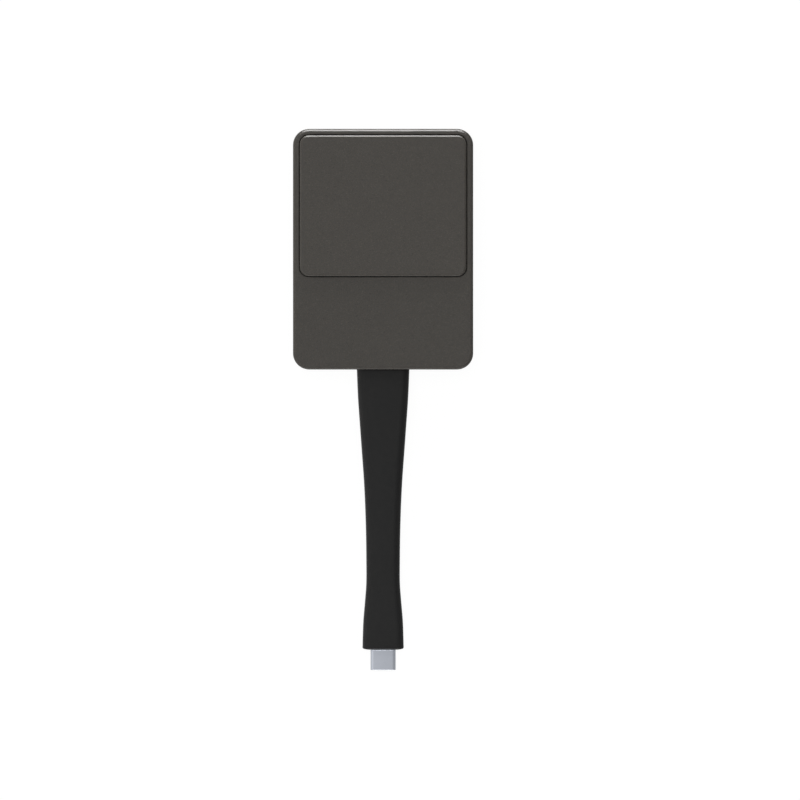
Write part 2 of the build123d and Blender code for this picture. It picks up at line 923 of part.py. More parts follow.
def chip_row(size, pitch, x, y):
    """A row across the board of small parts of one size."""
    size_x, size_y, height = size
    start = x - pitch * (row_count - 1) / 2
    return [
        block(size_y, size_x, board_top_z, board_top_z + height, start + pitch * step, y)
        for step in range(row_count)
    ]


def ceramic_capacitors():
    """Two rows of ceramic capacitors, by the power parts and by the wireless module."""
    power_y = cavity_tail_y + power_chip_y + power_row_y
    radio_y_low = radio_mid_y - radio_board_size[1] / 2 - radio_row_y
    near_power = chip_row(capacitor_size, capacitor_pitch, power_chip_x, power_y)
    near_radio = chip_row(capacitor_size, capacitor_pitch, radio_x, radio_y_low)
    return Compound(near_power + near_radio)


def chip_resistors():
    """Two rows of chip resistors, by the crystal and across the board from the power chip."""
    row_x = crystal_x + crystal_row_x
    row_y = button_mid_y + crystal_y - crystal_row_y
    near_crystal = chip_row(resistor_size, resistor_pitch, row_x, row_y)
    power_y = cavity_tail_y + power_chip_y
    near_socket = chip_row(resistor_size, resistor_pitch, -power_chip_x, power_y)
    return Compound(near_crystal + near_socket)


def antenna_boards():
    """Two small antenna boards stuck under the front face."""
    size_x, size_y, height = antenna_size
    return Compound(
        [
            block(size_x, size_y, ceiling_z - height, ceiling_z, side * antenna_x, antenna_mid_y)
            for side in (-1, 1)
        ]
    )


def antenna_leads():
    """The two thin coaxial leads, each from its connector along the board and up to its antenna."""
    leads = []
    size_x, size_y, thickness = antenna_size
    low_z = board_top_z + lead_height
    high_z = ceiling_z - thickness - lead_radius
    start_y = radio_plug_y - radio_plug_radius
    antenna_top_y = antenna_mid_y + size_y / 2
    for plug_x, side in zip(radio_plugs, (-1, 1)):
        pad_x = side * (antenna_x - size_x / 2 + antenna_pad_inset)
        first = (plug_x, start_y, low_z)
        turn = (plug_x, start_y - lead_out, low_z)
        across = (pad_x, antenna_top_y + lead_turn, low_z)
        rise = (pad_x, antenna_top_y + lead_rise, high_z)
        last = (pad_x, antenna_top_y - antenna_pad_inset, high_z)
        path = FilletPolyline(first, turn, across, rise, last, radius=lead_bend)
        start = Plane(origin=first, x_dir=(1, 0, 0), z_dir=(0, -1, 0))
        leads.append(sweep(start * Circle(lead_radius), path))
    return Compound(leads)


def cable_socket():
    """The wire-to-board socket, open towards the tail."""
    size_x, size_y, height = socket_size
    top_z = board_top_z + height
    body = block(size_x, size_y, board_top_z, top_z, 0, socket_front_y + size_y / 2)
    opening = block(
        wire_housing_size[0] + 2 * wire_housing_gap,
        2 * (size_y - 2 * socket_wall),
        wire_row_z - wire_housing_size[2] / 2 - wire_housing_gap,
        wire_row_z + wire_housing_size[2] / 2 + wire_housing_gap,
        0,
        socket_front_y,
    )
    return body - opening


def wire_place(number):
    """The wire's place across the connector's row, from its number."""
    return (number - (wire_count - 1) / 2) * wire_pitch


def cable_plug_housing():
    """The crimp housing on the wires' ends, pushed into the socket."""
    size_x, size_y, height = wire_housing_size
    low_z = wire_row_z - height / 2
    body = block(size_x, size_y, low_z, low_z + height, 0, wire_housing_y + size_y / 2)
    for number in range(wire_count):
        hole = Plane(
            origin=(wire_place(number), wire_housing_y, wire_row_z),
            x_dir=(1, 0, 0),
            z_dir=(0, 1, 0),
        )
        body -= extrude(hole * Circle(wire_radius + cable_hole_gap), wire_entry)
    return body


def wire_angle(number):
    """A wire's angle in the round cable: the first half of the wires on top, the others below."""
    step = 360 / wire_count
    half = wire_count // 2
    if number < half:
        return radians(180 - step * (number + 0.5))
    return radians(180 + step * (number - half + 0.5))


def wire_order():
    """The wires' numbers across the connector's row, where the lower wires spread further out."""

    def reach(number):
        spread = 1 if number < wire_count // 2 else 2
        return spread * round(cos(wire_angle(number)), 3)

    return sorted(range(wire_count), key=reach)


def cable_conductors():
    """The insulated wires, from the plug's board through the tail to the crimp housing."""
    wires = []
    half = wire_count // 2
    board_end_y = plug_tip_y + plug_board_start + plug_board_length
    for number in range(wire_count):
        angle = wire_angle(number)
        ring_x = wire_ring_radius * cos(angle)
        ring_z = tail_axis_height + wire_ring_radius * sin(angle)
        pad_x = (number % half - (half - 1) / 2) * wire_pad_spread
        pad_side = 1 if number < half else -1
        pad_z = tail_axis_height + pad_side * wire_pad_height
        row_x = wire_place(wire_order().index(number))
        first = (pad_x, board_end_y - wire_pad_length, pad_z)
        points = [
            first,
            (pad_x, board_end_y, pad_z),
            (ring_x, braid_far_y - wire_bend / 2, ring_z),
            (ring_x, jacket_near_y + wire_bend / 2, ring_z),
            (row_x, wire_housing_y - wire_bend, wire_row_z),
            (row_x, wire_housing_y + wire_entry, wire_row_z),
        ]
        path = FilletPolyline(*points, radius=wire_bend)
        start = Plane(origin=first, x_dir=(1, 0, 0), z_dir=(0, 1, 0))
        wires.append(sweep(start * Circle(wire_radius), path))
    return Compound(wires)


def cable_shield():
    """The braid round the wires."""
    tube = tail_disc(braid_radius, jacket_near_y, braid_far_y)
    return tube - tail_disc(braid_inside, jacket_near_y, braid_far_y)


def cable_jacket():
    """The cable's round jacket, from inside the housing to inside the plug."""
    tube = tail_disc(jacket_radius, jacket_near_y, jacket_far_y)
    return tube - tail_disc(jacket_inside, jacket_near_y, jacket_far_y)


def cable_clamp():
    """The metal saddle that holds the cable down on two posts."""
    near_y = clamp_y + clamp_width / 2
    far_y = clamp_y - clamp_width / 2
    outside = jacket_radius + cable_hole_gap + clamp_thickness
    arch = tail_disc(outside, near_y, far_y)
    ear_length = 2 * (clamp_screw_spread + clamp_head)
    saddle = arch & block(ear_length, clamp_width, clamp_post_z, ceiling_z, 0, clamp_y)
    saddle += block(ear_length, clamp_width, clamp_post_z, clamp_seat_z, 0, clamp_y)
    saddle -= tail_disc(jacket_radius + cable_hole_gap, near_y, far_y)
    for x, y in clamp_screws:
        saddle -= disc(clamp_thread + clearance_gap, clamp_post_z, clamp_seat_z, x, y)
    return saddle


def cable_clamp_screws():
    """Two screws that hold the clamp."""
    return Compound(
        [
            screw(
                x,
                y,
                clamp_seat_z,
                clamp_thread,
                clamp_head,
                clamp_head_height,
                clamp_screw_length,
            )
            for x, y in clamp_screws
        ]
    )


def tail_overmould():
    """The flexible moulded tail: its flange in the housing, its taper and the grip round the plug."""
    sections = [
        tail_plane(tail_wall_y - distance) * RectangleRounded(width, thickness, corner)
        for (distance, width, thickness), corner in zip(tail_stations, tail_corners())
    ]
    tail = loft(sections)
    end_edges = tail.edges().group_by(Axis.Y)[0]
    tail = fillet(end_edges, tail_end_round)
    root = RectangleRounded(root_width, root_thickness, tail_corner)
    tail += along_tail(root, cavity_tail_y, tail_wall_y)
    flange_near_y = cavity_tail_y + flange_gap + tail_flange_thickness
    neck = RectangleRounded(root_width - 2 * tail_flange_reach, tail_flange_height, tail_corner)
    tail += along_tail(neck, flange_near_y, cavity_tail_y)
    flange_width = root_width + 2 * tail_flange_reach - 2 * flange_gap
    flange = RectangleRounded(flange_width, tail_flange_height, tail_corner)
    tail += along_tail(flange, flange_near_y, cavity_tail_y + flange_gap)
    tail -= tail_disc(jacket_radius + cable_hole_gap, flange_near_y, tail_end_y)
    tail -= tail_block(
        mould_width + 2 * mould_gap,
        mould_thickness + 2 * mould_gap,
        mould_tip_y + mould_length + mould_gap,
        mould_tip_y - mould_gap,
    )
    return tail - along_tail(shell_outline(mould_gap), mould_tip_y, tail_end_y - cut_past)


def tail_corners():
    """The corner radius at each station, which eases from the root's to the plug end's."""
    return [
        tail_corner + (tail_end_corner - tail_corner) * distance / tail_length
        for distance, width, thickness in tail_stations
    ]


def shell_outline(grow=0):
    """The plug shell's cross-section, grown by a distance."""
    return RectangleRounded(
        shell_width + 2 * grow, shell_thickness + 2 * grow, shell_side_round + grow
    )


def plug_shell():
    """The drawn steel shell of the plug, with its edge turned in round the mouth."""
    rear_y = plug_tip_y + shell_length
    shell = along_tail(shell_outline(), rear_y, plug_tip_y)
    shell = fillet(shell.edges().group_by(Axis.Y)[0], shell_mouth_round)
    shell -= along_tail(shell_outline(-shell_wall), rear_y, plug_tip_y + shell_lip)
    mouth = shell_outline(-shell_wall - shell_lip_reach)
    return shell - along_tail(mouth, plug_tip_y + shell_lip, plug_tip_y - cut_past)


def insulator_blank():
    """The insulator's outside, before its slot and the metal parts are cut."""
    front_y = plug_tip_y + shell_lip + insulator_set_back
    outline = shell_outline(-shell_wall - insulator_gap)
    body = along_tail(outline, front_y + insulator_length, front_y)
    slot = RectangleRounded(tongue_slot_width, tongue_slot_height, tongue_slot_round)
    return body - along_tail(slot, front_y + tongue_slot_depth, front_y - cut_past)


def plug_insulator():
    """The plastic core of the plug with its slot for the socket's tongue."""
    return insulator_blank() - plug_contacts() - plug_latch_springs() - plug_ground_springs()


def plug_contacts():
    """Twelve contacts above and twelve below the slot, which run back onto the plug's board."""
    far_y = plug_tip_y + contact_set_back
    near_y = far_y + contact_length
    z = contact_inside_face + contact_thickness / 2
    contacts = []
    for number in range(contacts_a_side):
        x = (number - (contacts_a_side - 1) / 2) * contact_pitch
        for side in (-1, 1):
            contacts.append(
                tail_block(contact_width, contact_thickness, near_y, far_y, x, side * z)
            )
    return Compound(contacts)


def plug_latch_springs():
    """The two side springs that grip the socket's tongue."""
    far_y = plug_tip_y + contact_set_back
    x = tongue_slot_width / 2
    return Compound(
        [
            tail_block(latch_thickness, latch_width, far_y + latch_length, far_y, side * x)
            for side in (-1, 1)
        ]
    )


def plug_ground_springs():
    """Four thin ground springs, flush in the insulator's top and bottom."""
    size_x, size_y, thickness = ground_spring_size
    far_y = plug_tip_y + ground_spring_set_back
    z = shell_thickness / 2 - shell_wall - insulator_gap - thickness / 2
    springs = []
    for x in (-1, 1):
        for side in (-1, 1):
            springs.append(
                tail_block(
                    size_x, thickness, far_y + size_y, far_y, x * ground_spring_spread, side * z
                )
            )
    return Compound(springs)


def plug_board():
    """The small board that the contacts and the wires are soldered to."""
    far_y = plug_tip_y + plug_board_start
    near_y = far_y + plug_board_length
    return tail_block(plug_board_width, 2 * contact_inside_face, near_y, far_y)


def plug_board_parts():
    """A chip on the top of the plug's board and two capacitors beside it."""
    size_x, size_y, height = plug_chip_size
    far_y = plug_tip_y + contact_set_back + contact_length + plug_chip_gap
    near_y = far_y + size_y
    z = contact_inside_face + height / 2
    parts = [tail_block(size_x, height, near_y, far_y, 0, z)]
    for side in (-1, 1):
        x = side * plug_capacitor_spread
        parts.append(tail_block(size_x / 2, height, near_y, far_y, x, z))
    return Compound(parts)


def plug_back_shield():
    """The metal box round the plug's board, open onto the shell in front and the cable behind."""
    front_inside_y = shield_far_y + back_shield_wall
    rear_inside_y = shield_rear_y - back_shield_wall
    box = tail_block(back_shield_width, back_shield_thickness, shield_rear_y, shield_far_y)
    box -= tail_block(
        back_shield_width - 2 * back_shield_wall,
        back_shield_thickness - 2 * back_shield_wall,
        rear_inside_y,
        front_inside_y,
    )
    box -= along_tail(shell_outline(mould_gap), front_inside_y, shield_far_y)
    return box - tail_disc(braid_radius + mould_gap, shield_rear_y, rear_inside_y)


def plug_inner_mould():
    """The hard plastic block moulded over the plug's metal, inside the tail's soft grip."""
    near_y = mould_tip_y + mould_length
    mould = tail_block(mould_width, mould_thickness, near_y, mould_tip_y)
    mould -= tail_block(back_shield_width, back_shield_thickness, shield_rear_y, shield_far_y)
    mould -= along_tail(shell_outline(mould_gap), shield_far_y, mould_tip_y)
    return mould - tail_disc(jacket_radius + mould_gap, near_y, shield_rear_y)


nodes = {
    "top_housing": top_housing,
    "bottom_housing": bottom_housing,
    "rubber_feet": rubber_feet,
    "housing_screws": housing_screws,
    "button_cap": button_cap,
    "button_guide_frame": button_guide_frame,
    "guide_frame_screws": guide_frame_screws,
    "return_domes": return_domes,
    "switch_body": switch_body,
    "switch_cover": switch_cover,
    "switch_plunger": switch_plunger,
    "switch_dome": switch_dome,
    "switch_terminals": switch_terminals,
    "main_board": main_board,
    "board_screws": board_screws_group,
    "memory_shield_can": memory_shield_can,
    "memory_chips": memory_chips,
    "wireless_module_board": wireless_module_board,
    "wireless_shield_can": wireless_shield_can,
    "antenna_connectors": antenna_connectors,
    "antenna_boards": antenna_boards,
    "antenna_leads": antenna_leads,
    "processor_chip": processor_chip,
    "thermal_pad": thermal_pad,
    "heat_spreader": heat_spreader,
    "power_chip": power_chip,
    "power_inductors": power_inductors,
    "clock_crystal": clock_crystal,
    "ceramic_capacitors": ceramic_capacitors,
    "chip_resistors": chip_resistors,
    "cable_socket": cable_socket,
    "cable_plug_housing": cable_plug_housing,
    "cable_conductors": cable_conductors,
    "cable_shield": cable_shield,
    "cable_jacket": cable_jacket,
    "cable_clamp": cable_clamp,
    "cable_clamp_screws": cable_clamp_screws,
    "tail_overmould": tail_overmould,
    "plug_shell": plug_shell,
    "plug_insulator": plug_insulator,
    "plug_contacts": plug_contacts,
    "plug_latch_springs": plug_latch_springs,
    "plug_ground_springs": plug_ground_springs,
    "plug_board": plug_board,
    "plug_board_parts": plug_board_parts,
    "plug_back_shield": plug_back_shield,
    "plug_inner_mould": plug_inner_mould,
}

os.makedirs("parts", exist_ok=True)
for name, make in nodes.items():
    export_step(make(), f"parts/{name}.step")
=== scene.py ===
"""A wireless presentation dongle: its soft pieces, its finishes and the studio round it.

Metres. X runs across the housing, Y along it with the tail towards -Y, and Z up through the front
face, as in the frame.
"""

import json
import math
from collections import namedtuple

import bmesh
import bpy
from bpy.props import FloatProperty, FloatVectorProperty, IntProperty, PointerProperty
from mathutils import Matrix, Vector
from mathutils.geometry import interpolate_bezier


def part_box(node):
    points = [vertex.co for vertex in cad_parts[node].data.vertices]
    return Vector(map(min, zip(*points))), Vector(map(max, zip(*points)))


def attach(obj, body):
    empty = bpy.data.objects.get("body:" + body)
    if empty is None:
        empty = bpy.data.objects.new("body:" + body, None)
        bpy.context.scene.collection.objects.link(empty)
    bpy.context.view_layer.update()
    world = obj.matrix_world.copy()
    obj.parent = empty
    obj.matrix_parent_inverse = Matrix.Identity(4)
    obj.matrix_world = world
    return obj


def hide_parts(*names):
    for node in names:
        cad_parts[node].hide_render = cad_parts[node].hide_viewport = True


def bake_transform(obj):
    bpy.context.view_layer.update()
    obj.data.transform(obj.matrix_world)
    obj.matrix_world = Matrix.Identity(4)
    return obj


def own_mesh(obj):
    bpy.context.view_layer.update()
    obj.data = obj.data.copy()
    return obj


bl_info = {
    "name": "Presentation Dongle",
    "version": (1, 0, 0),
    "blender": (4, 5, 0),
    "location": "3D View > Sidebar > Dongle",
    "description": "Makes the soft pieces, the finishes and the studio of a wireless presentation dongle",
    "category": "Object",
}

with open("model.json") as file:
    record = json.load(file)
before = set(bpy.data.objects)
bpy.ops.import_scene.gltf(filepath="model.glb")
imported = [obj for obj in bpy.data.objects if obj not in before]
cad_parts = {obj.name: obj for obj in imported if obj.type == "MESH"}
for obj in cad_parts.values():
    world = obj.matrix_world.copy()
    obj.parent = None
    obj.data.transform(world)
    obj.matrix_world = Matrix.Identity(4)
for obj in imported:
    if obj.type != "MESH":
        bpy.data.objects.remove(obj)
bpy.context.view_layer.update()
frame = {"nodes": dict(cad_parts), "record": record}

MM = 0.001

# A cross-section of a sleeve round the tail's axis: its place along Y and its rounded rectangle
Section = namedtuple("Section", "y width thickness corner")

# Places that the frame gives
housing_low, housing_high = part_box("bottom_housing")
tail_low, tail_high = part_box("tail_overmould")
jacket_low, jacket_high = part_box("cable_jacket")
braid_low, braid_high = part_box("cable_shield")
shell_low, shell_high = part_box("plug_shell")
mould_low, mould_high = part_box("plug_inner_mould")
axis_z = (jacket_low.z + jacket_high.z) / 2
tail_wall_y = housing_low.y
slot_of = {part["node"]: part["material_slot"] for part in frame["record"]["subparts"]}
slot_colour = {made["slot"]: made["base_color"] for made in frame["record"]["materials"]}

# The tail's outside: a distance from the housing, and the width and thickness there, in millimetres
tail_stations = [
    (0.0, 17.26, 7.8),
    (9.0, 16.52, 7.6),
    (18.0, 15.28, 7.25),
    (27.0, 13.99, 6.85),
    (36.0, 12.68, 6.5),
    (45.0, 11.79, 6.3),
    (54.0, 11.26, 6.2),
    (63.0, 11.04, 6.2),
    (70.25, 11.07, 6.22),
    (76.25, 11.93, 6.42),
    (82.25, 12.95, 6.78),
    (87.25, 13.34, 6.97),
    (92.05, 13.56, 7.0),
]
tail_corner = 2.7 * MM
tail_end_corner = 2.4 * MM
tail_fit_gap = 0.05 * MM
flange_width = 20.96 * MM
flange_thickness = 2.0 * MM
flange_height = 6.0 * MM
neck_width = 13.26 * MM
root_depth = 1.85 * MM
jacket_wall = 0.55 * MM
braid_wall = 0.3 * MM
shell_wall = 0.25 * MM
shell_side_round = 1.15 * MM
shell_lip = 0.3 * MM
shell_lip_reach = 0.2 * MM
round_share = 0.985
merge_distance = 0.0005 * MM


class StageSettings(bpy.types.PropertyGroup):
    """The camera, the floor and the lights."""

    frame_width: FloatProperty(
        name="Frame width", description="Width that the picture shows", default=0.2624, unit="LENGTH"
    )
    middle: FloatVectorProperty(
        name="Middle",
        description="Point of the front face's plane in the picture's middle",
        default=(0.00555, -0.04946, 0.012),
        size=3,
        subtype="TRANSLATION",
    )
    camera_height: FloatProperty(
        name="Camera height", description="Camera above that point", default=4.0, unit="LENGTH"
    )
    floor_size: FloatProperty(
        name="Floor size", description="Side of the square floor", default=6.0, unit="LENGTH"
    )
    floor_colour: FloatVectorProperty(
        name="Floor colour",
        description="Colour that the floor throws back",
        default=(0.86, 0.86, 0.85),
        size=3,
        subtype="COLOR",
    )
    room_light: FloatProperty(
        name="Room light", description="Strength of the light from all round", default=0.2
    )
    room_gloss: FloatProperty(
        name="Room gloss", description="Brightness of the room that glossy surfaces see", default=0.85
    )
    ceiling_light: FloatProperty(
        name="Ceiling light",
        description="Power of the soft lamp overhead",
        default=13.4,
        unit="POWER",
    )
    head_gloss: FloatProperty(
        name="Head gloss",
        description="Power of the tall lamp that only glossy edges see past the button's end",
        default=50.0,
        unit="POWER",
    )
    head_light: FloatProperty(
        name="Head light",
        description="Power of the low lamp past the button's end",
        default=6.0,
        unit="POWER",
    )
    side_light: FloatProperty(
        name="Side light",
        description="Power of the low lamp on the left",
        default=4.0,
        unit="POWER",
    )
    tail_light: FloatProperty(
        name="Tail light",
        description="Power of the low lamp past the plug",
        default=3.0,
        unit="POWER",
    )


class PlasticSettings(bpy.types.PropertyGroup):
    """The finish of the housing and the button."""

    roughness: FloatProperty(
        name="Roughness", description="Roughness of the textured plastic", default=0.26, subtype="FACTOR"
    )
    grain: FloatProperty(
        name="Grain", description="Size of the mould's texture", default=0.3 * MM, unit="LENGTH"
    )
    grain_depth: FloatProperty(
        name="Grain depth", description="Depth of the mould's texture", default=0.002 * MM, unit="LENGTH"
    )
    body_share: FloatProperty(
        name="Body share",
        description="Share of the seen colour that isn't gloss",
        default=0.93,
        subtype="FACTOR",
    )


class TailSettings(bpy.types.PropertyGroup):
    """The moulded tail and the cable in it."""

    corner_steps: IntProperty(
        name="Corner steps", description="Faces round one corner of a cross-section", default=8
    )
    ring_length: FloatProperty(
        name="Ring length", description="Distance between cross-sections", default=1.5 * MM, unit="LENGTH"
    )
    end_round: FloatProperty(
        name="End round", description="Radius of the tail's end", default=0.6 * MM, unit="LENGTH"
    )
    end_crown: FloatProperty(
        name="End crown", description="Bulge of the tail's end face", default=0.3 * MM, unit="LENGTH"
    )
    roughness: FloatProperty(
        name="Roughness", description="Roughness of the rubber", default=0.36, subtype="FACTOR"
    )
    bend_start: FloatProperty(
        name="Bend start",
        description="From the housing to where the tail starts to bend",
        default=5.5 * MM,
        unit="LENGTH",
    )
    bend_end: FloatProperty(
        name="Bend end",
        description="From the tail's end to where it stops bending",
        default=13.2 * MM,
        unit="LENGTH",
    )


class PlugSettings(bpy.types.PropertyGroup):
    """The plug's shell."""

    mouth_round: FloatProperty(
        name="Mouth round", description="Radius round the mouth", default=0.2 * MM, unit="LENGTH"
    )
    collar_length: FloatProperty(
        name="Collar length",
        description="Length of the shell's collar beside the tail",
        default=0.2 * MM,
        unit="LENGTH",
    )
    collar_proud: FloatProperty(
        name="Collar proud",
        description="How far the collar stands out of the shell",
        default=0.03 * MM,
        unit="LENGTH",
    )
    roughness: FloatProperty(
        name="Roughness", description="Roughness of the nickel plating", default=0.24, subtype="FACTOR"
    )


# Mesh helpers


def mesh_object(name, bm, body=None):
    """Makes a finished object of a bmesh, smooth but for its real edges."""
    mesh = bpy.data.meshes.new(name)
    bm.to_mesh(mesh)
    bm.free()
    mesh.shade_smooth()
    mesh.set_sharp_from_angle(angle=math.radians(32))
    made = bpy.data.objects.new(name, mesh)
    bpy.context.scene.collection.objects.link(made)
    if body:
        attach(made, body)
    return made


def keep_rest_place(piece):
    """Stores where each point is at rest, in millimetres, so that a pattern bends with the piece."""
    mesh = piece.data
    place = mesh.attributes.new("rest_place", "FLOAT_VECTOR", "POINT")
    place.data.foreach_set("vector", [value / MM for vertex in mesh.vertices for value in vertex.co])


def corner_middle(section, side, level):
    """The middle of one of a section's rounded corners."""
    return Vector(
        (
            side * (section.width / 2 - section.corner),
            section.y,
            axis_z + level * (section.thickness / 2 - section.corner),
        )
    )


def first_outline(bm, section, steps):
    """Makes a section's outline of a beveled square, and returns its edges."""
    turn = Matrix.Translation((0, section.y, axis_z)) @ Matrix.Rotation(math.pi / 2, 4, "X")
    square = bmesh.ops.create_grid(bm, x_segments=1, y_segments=1, size=section.thickness / 2, matrix=turn)
    wide = section.width / section.thickness
    bmesh.ops.scale(bm, verts=square["verts"], vec=(wide, 1, 1))
    bmesh.ops.bevel(
        bm,
        geom=square["verts"],
        offset=section.corner,
        offset_type="OFFSET",
        segments=steps,
        profile=0.5,
        affect="VERTICES",
        material=-1,
    )
    bmesh.ops.delete(bm, geom=bm.faces[:], context="FACES_ONLY")
    return bm.edges[:]


def next_outline(bm, edges, old, new):
    """Extrudes an outline to the next section, moving and scaling each rounded corner by itself."""
    made = bmesh.ops.extrude_edge_only(bm, edges=edges)["geom"]
    verts = [item for item in made if isinstance(item, bmesh.types.BMVert)]
    grown = new.corner / old.corner
    for side in (-1, 1):
        for level in (-1, 1):
            corner = [v for v in verts if v.co.x * side > 0 and (v.co.z - axis_z) * level > 0]
            middle = corner_middle(old, side, level)
            space = Matrix.Translation(-middle)
            bmesh.ops.scale(bm, verts=corner, vec=(grown, 1, grown), space=space)
            bmesh.ops.translate(bm, verts=corner, vec=corner_middle(new, side, level) - middle)
    return [item for item in made if isinstance(item, bmesh.types.BMEdge)]


def sleeve(sections, steps):
    """A closed sleeve: extrudes an outline from section to section and back to the first one."""
    bm = bmesh.new()
    first = first_outline(bm, sections[0], steps)
    edges = first
    for old, new in zip(sections, sections[1:]):
        edges = next_outline(bm, edges, old, new)
    bmesh.ops.bridge_loops(bm, edges=first + edges)
    bmesh.ops.recalc_face_normals(bm, faces=bm.faces[:])
    return bm


def round_section(y, radius):
    """A section that is all but a circle, so that its corners still have sides between them."""
    return Section(y, 2 * radius, 2 * radius, round_share * radius)


def ring_places(near_y, far_y, step):
    """Places along Y from near to far, about a step apart."""
    count = max(1, round(abs(far_y - near_y) / step))
    return [near_y + (far_y - near_y) * number / count for number in range(count + 1)]


def pipe(name, low, high, wall, settings):
    """A round pipe along the tail's axis that fills a node's box."""
    radius = (high.x - low.x) / 2
    places = ring_places(high.y, low.y, settings.ring_length)
    outside = [round_section(y, radius) for y in places]
    inside = [round_section(y, radius - wall) for y in reversed(places)]
    return mesh_object(name, sleeve(outside + inside, settings.corner_steps))


def bend_with_tail(piece):
    """Stores where a piece's points are at rest and bakes its place into its mesh."""
    keep_rest_place(piece)
    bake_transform(piece)


# The tail


def tail_profile(settings):
    """The tail's sections from the housing to where its end starts to round, eased between stations."""
    stations = [Vector(station) for station in tail_stations]
    last = len(stations) - 1
    points = []
    for number in range(last):
        a, b = stations[number], stations[number + 1]
        before, after = stations[max(number - 1, 0)], stations[min(number + 2, last)]
        span = b.x - a.x
        slope_a = (b - before) * (span / (b.x - before.x))
        slope_b = (after - a) * (span / (after.x - a.x))
        count = round(span * MM / settings.ring_length) + 1
        points += interpolate_bezier(a, a + slope_a / 3, b - slope_b / 3, b, count)[:-1]
    points.append(stations[last])
    length = stations[last].x
    sections = []
    for distance, width, thickness in points:
        corner = tail_corner + (tail_end_corner - tail_corner) * distance / length
        sections.append(Section(tail_wall_y - distance * MM, width * MM, thickness * MM, corner))
    return sections


def tail_sections(settings):
    """All sections of the tail: its flange, neck, taper and end, then back through its hollow."""
    outside = tail_profile(settings)
    root, end = outside[0], outside[-1]
    inner_y = tail_wall_y + root_depth
    flange_y = tail_high.y - flange_thickness
    lead_in = [
        Section(tail_high.y, flange_width, flange_height, tail_corner),
        Section(flange_y, flange_width, flange_height, tail_corner),
        Section(flange_y, neck_width, flange_height, tail_corner),
        Section(inner_y, neck_width, flange_height, tail_corner),
        root._replace(y=inner_y),
    ]
    radius = settings.end_round
    last_angle = math.radians(74)
    round_y = end.y + settings.end_crown + radius * math.sin(last_angle)
    body = [section for section in outside if section.y > round_y + radius / 2]
    rounding = []
    for step in range(settings.corner_steps + 1):
        angle = last_angle * step / settings.corner_steps
        inset = radius * (1 - math.cos(angle))
        rounding.append(
            Section(
                round_y - radius * math.sin(angle),
                end.width - 2 * inset,
                end.thickness - 2 * inset,
                end.corner - inset,
            )
        )
    hole = grown_outline(shell_high.x - shell_low.x, shell_high.z - shell_low.z, shell_side_round)
    cavity = grown_outline(
        mould_high.x - mould_low.x, mould_high.z - mould_low.z, 2 * tail_fit_gap
    )
    bore = (jacket_high.x - jacket_low.x) / 2 + tail_fit_gap
    cavity_far_y = mould_low.y - tail_fit_gap
    cavity_near_y = mould_high.y + tail_fit_gap
    crown_steps = 4
    crown = []
    for step in range(1, crown_steps + 1):
        share = step / crown_steps
        drop = settings.end_crown * (1 - share) ** 2
        sizes = [a + (b - a) * share for a, b in zip(rounding[-1][1:], hole)]
        crown.append(Section(end.y + drop, *sizes))
    hollow = [
        Section(cavity_far_y, *hole),
        Section(cavity_far_y, *cavity),
        Section(cavity_near_y, *cavity),
    ]
    bore_places = ring_places(cavity_near_y, tail_high.y, settings.ring_length)
    hollow += [round_section(y, bore) for y in bore_places]
    return lead_in + body + rounding + crown + hollow


def grown_outline(width, thickness, corner):
    """The width, thickness and corner of an outline that clears a piece inside it."""
    return width + 2 * tail_fit_gap, thickness + 2 * tail_fit_gap, corner + tail_fit_gap


class DONGLE_OT_tail(bpy.types.Operator):
    """Make the flexible moulded tail"""

    bl_idname = "dongle.tail"
    bl_label = "Make the Tail"

    def execute(self, context):
        settings = context.scene.dongle_tail
        bm = sleeve(tail_sections(settings), settings.corner_steps)
        tail = mesh_object("tail_rubber_sleeve", bm)
        tail.data.materials.append(material_of("tail_rubber"))
        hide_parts("tail_overmould")
        bend_with_tail(tail)
        return {"FINISHED"}


class DONGLE_OT_cable(bpy.types.Operator):
    """Make the cable in the tail: its jacket, its braid and its wires"""

    bl_idname = "dongle.cable"
    bl_label = "Make the Cable"

    def execute(self, context):
        settings = context.scene.dongle_tail
        jacket = pipe("cable_jacket_pipe", jacket_low, jacket_high, jacket_wall, settings)
        braid = pipe("cable_braid", braid_low, braid_high, braid_wall, settings)
        wires = cut_copy("cable_wires", "cable_conductors", settings.ring_length)
        for piece, node in (
            (jacket, "cable_jacket"),
            (braid, "cable_shield"),
            (wires, "cable_conductors"),
        ):
            slot = slot_of[node]
            piece.data.materials.append(material_of(slot))
            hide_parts(node)
            bend_with_tail(piece)
        return {"FINISHED"}


def cut_copy(name, node, step):
    """A merged copy of a node's mesh, cut across the tail so that it can bend."""
    low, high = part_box(node)
    bm = bmesh.new()
    bm.from_mesh(frame["nodes"][node].data)
    bmesh.ops.remove_doubles(bm, verts=bm.verts[:], dist=merge_distance)
    for y in ring_places(high.y, low.y, step)[1:-1]:
        bmesh.ops.bisect_plane(
            bm,
            geom=bm.verts[:] + bm.edges[:] + bm.faces[:],
            dist=0.0001 * MM,
            plane_co=(0, y, 0),
            plane_no=(0, 1, 0),
        )
    return mesh_object(name, bm)


# The button's return domes and the switch's snap dome

dome_steps = 32
snap_arc_steps = 8


def turned(bm, profile, middle, steps):
    """Spins a profile of radii and heights round an upright axis."""
    verts = [bm.verts.new((middle.x + radius, middle.y, height)) for radius, height in profile]
    edges = [bm.edges.new(pair) for pair in zip(verts, verts[1:])]
    bmesh.ops.spin(
        bm,
        geom=verts + edges,
        cent=middle,
        axis=(0, 0, 1),
        angle=2 * math.pi,
        steps=steps,
        use_merge=True,
    )


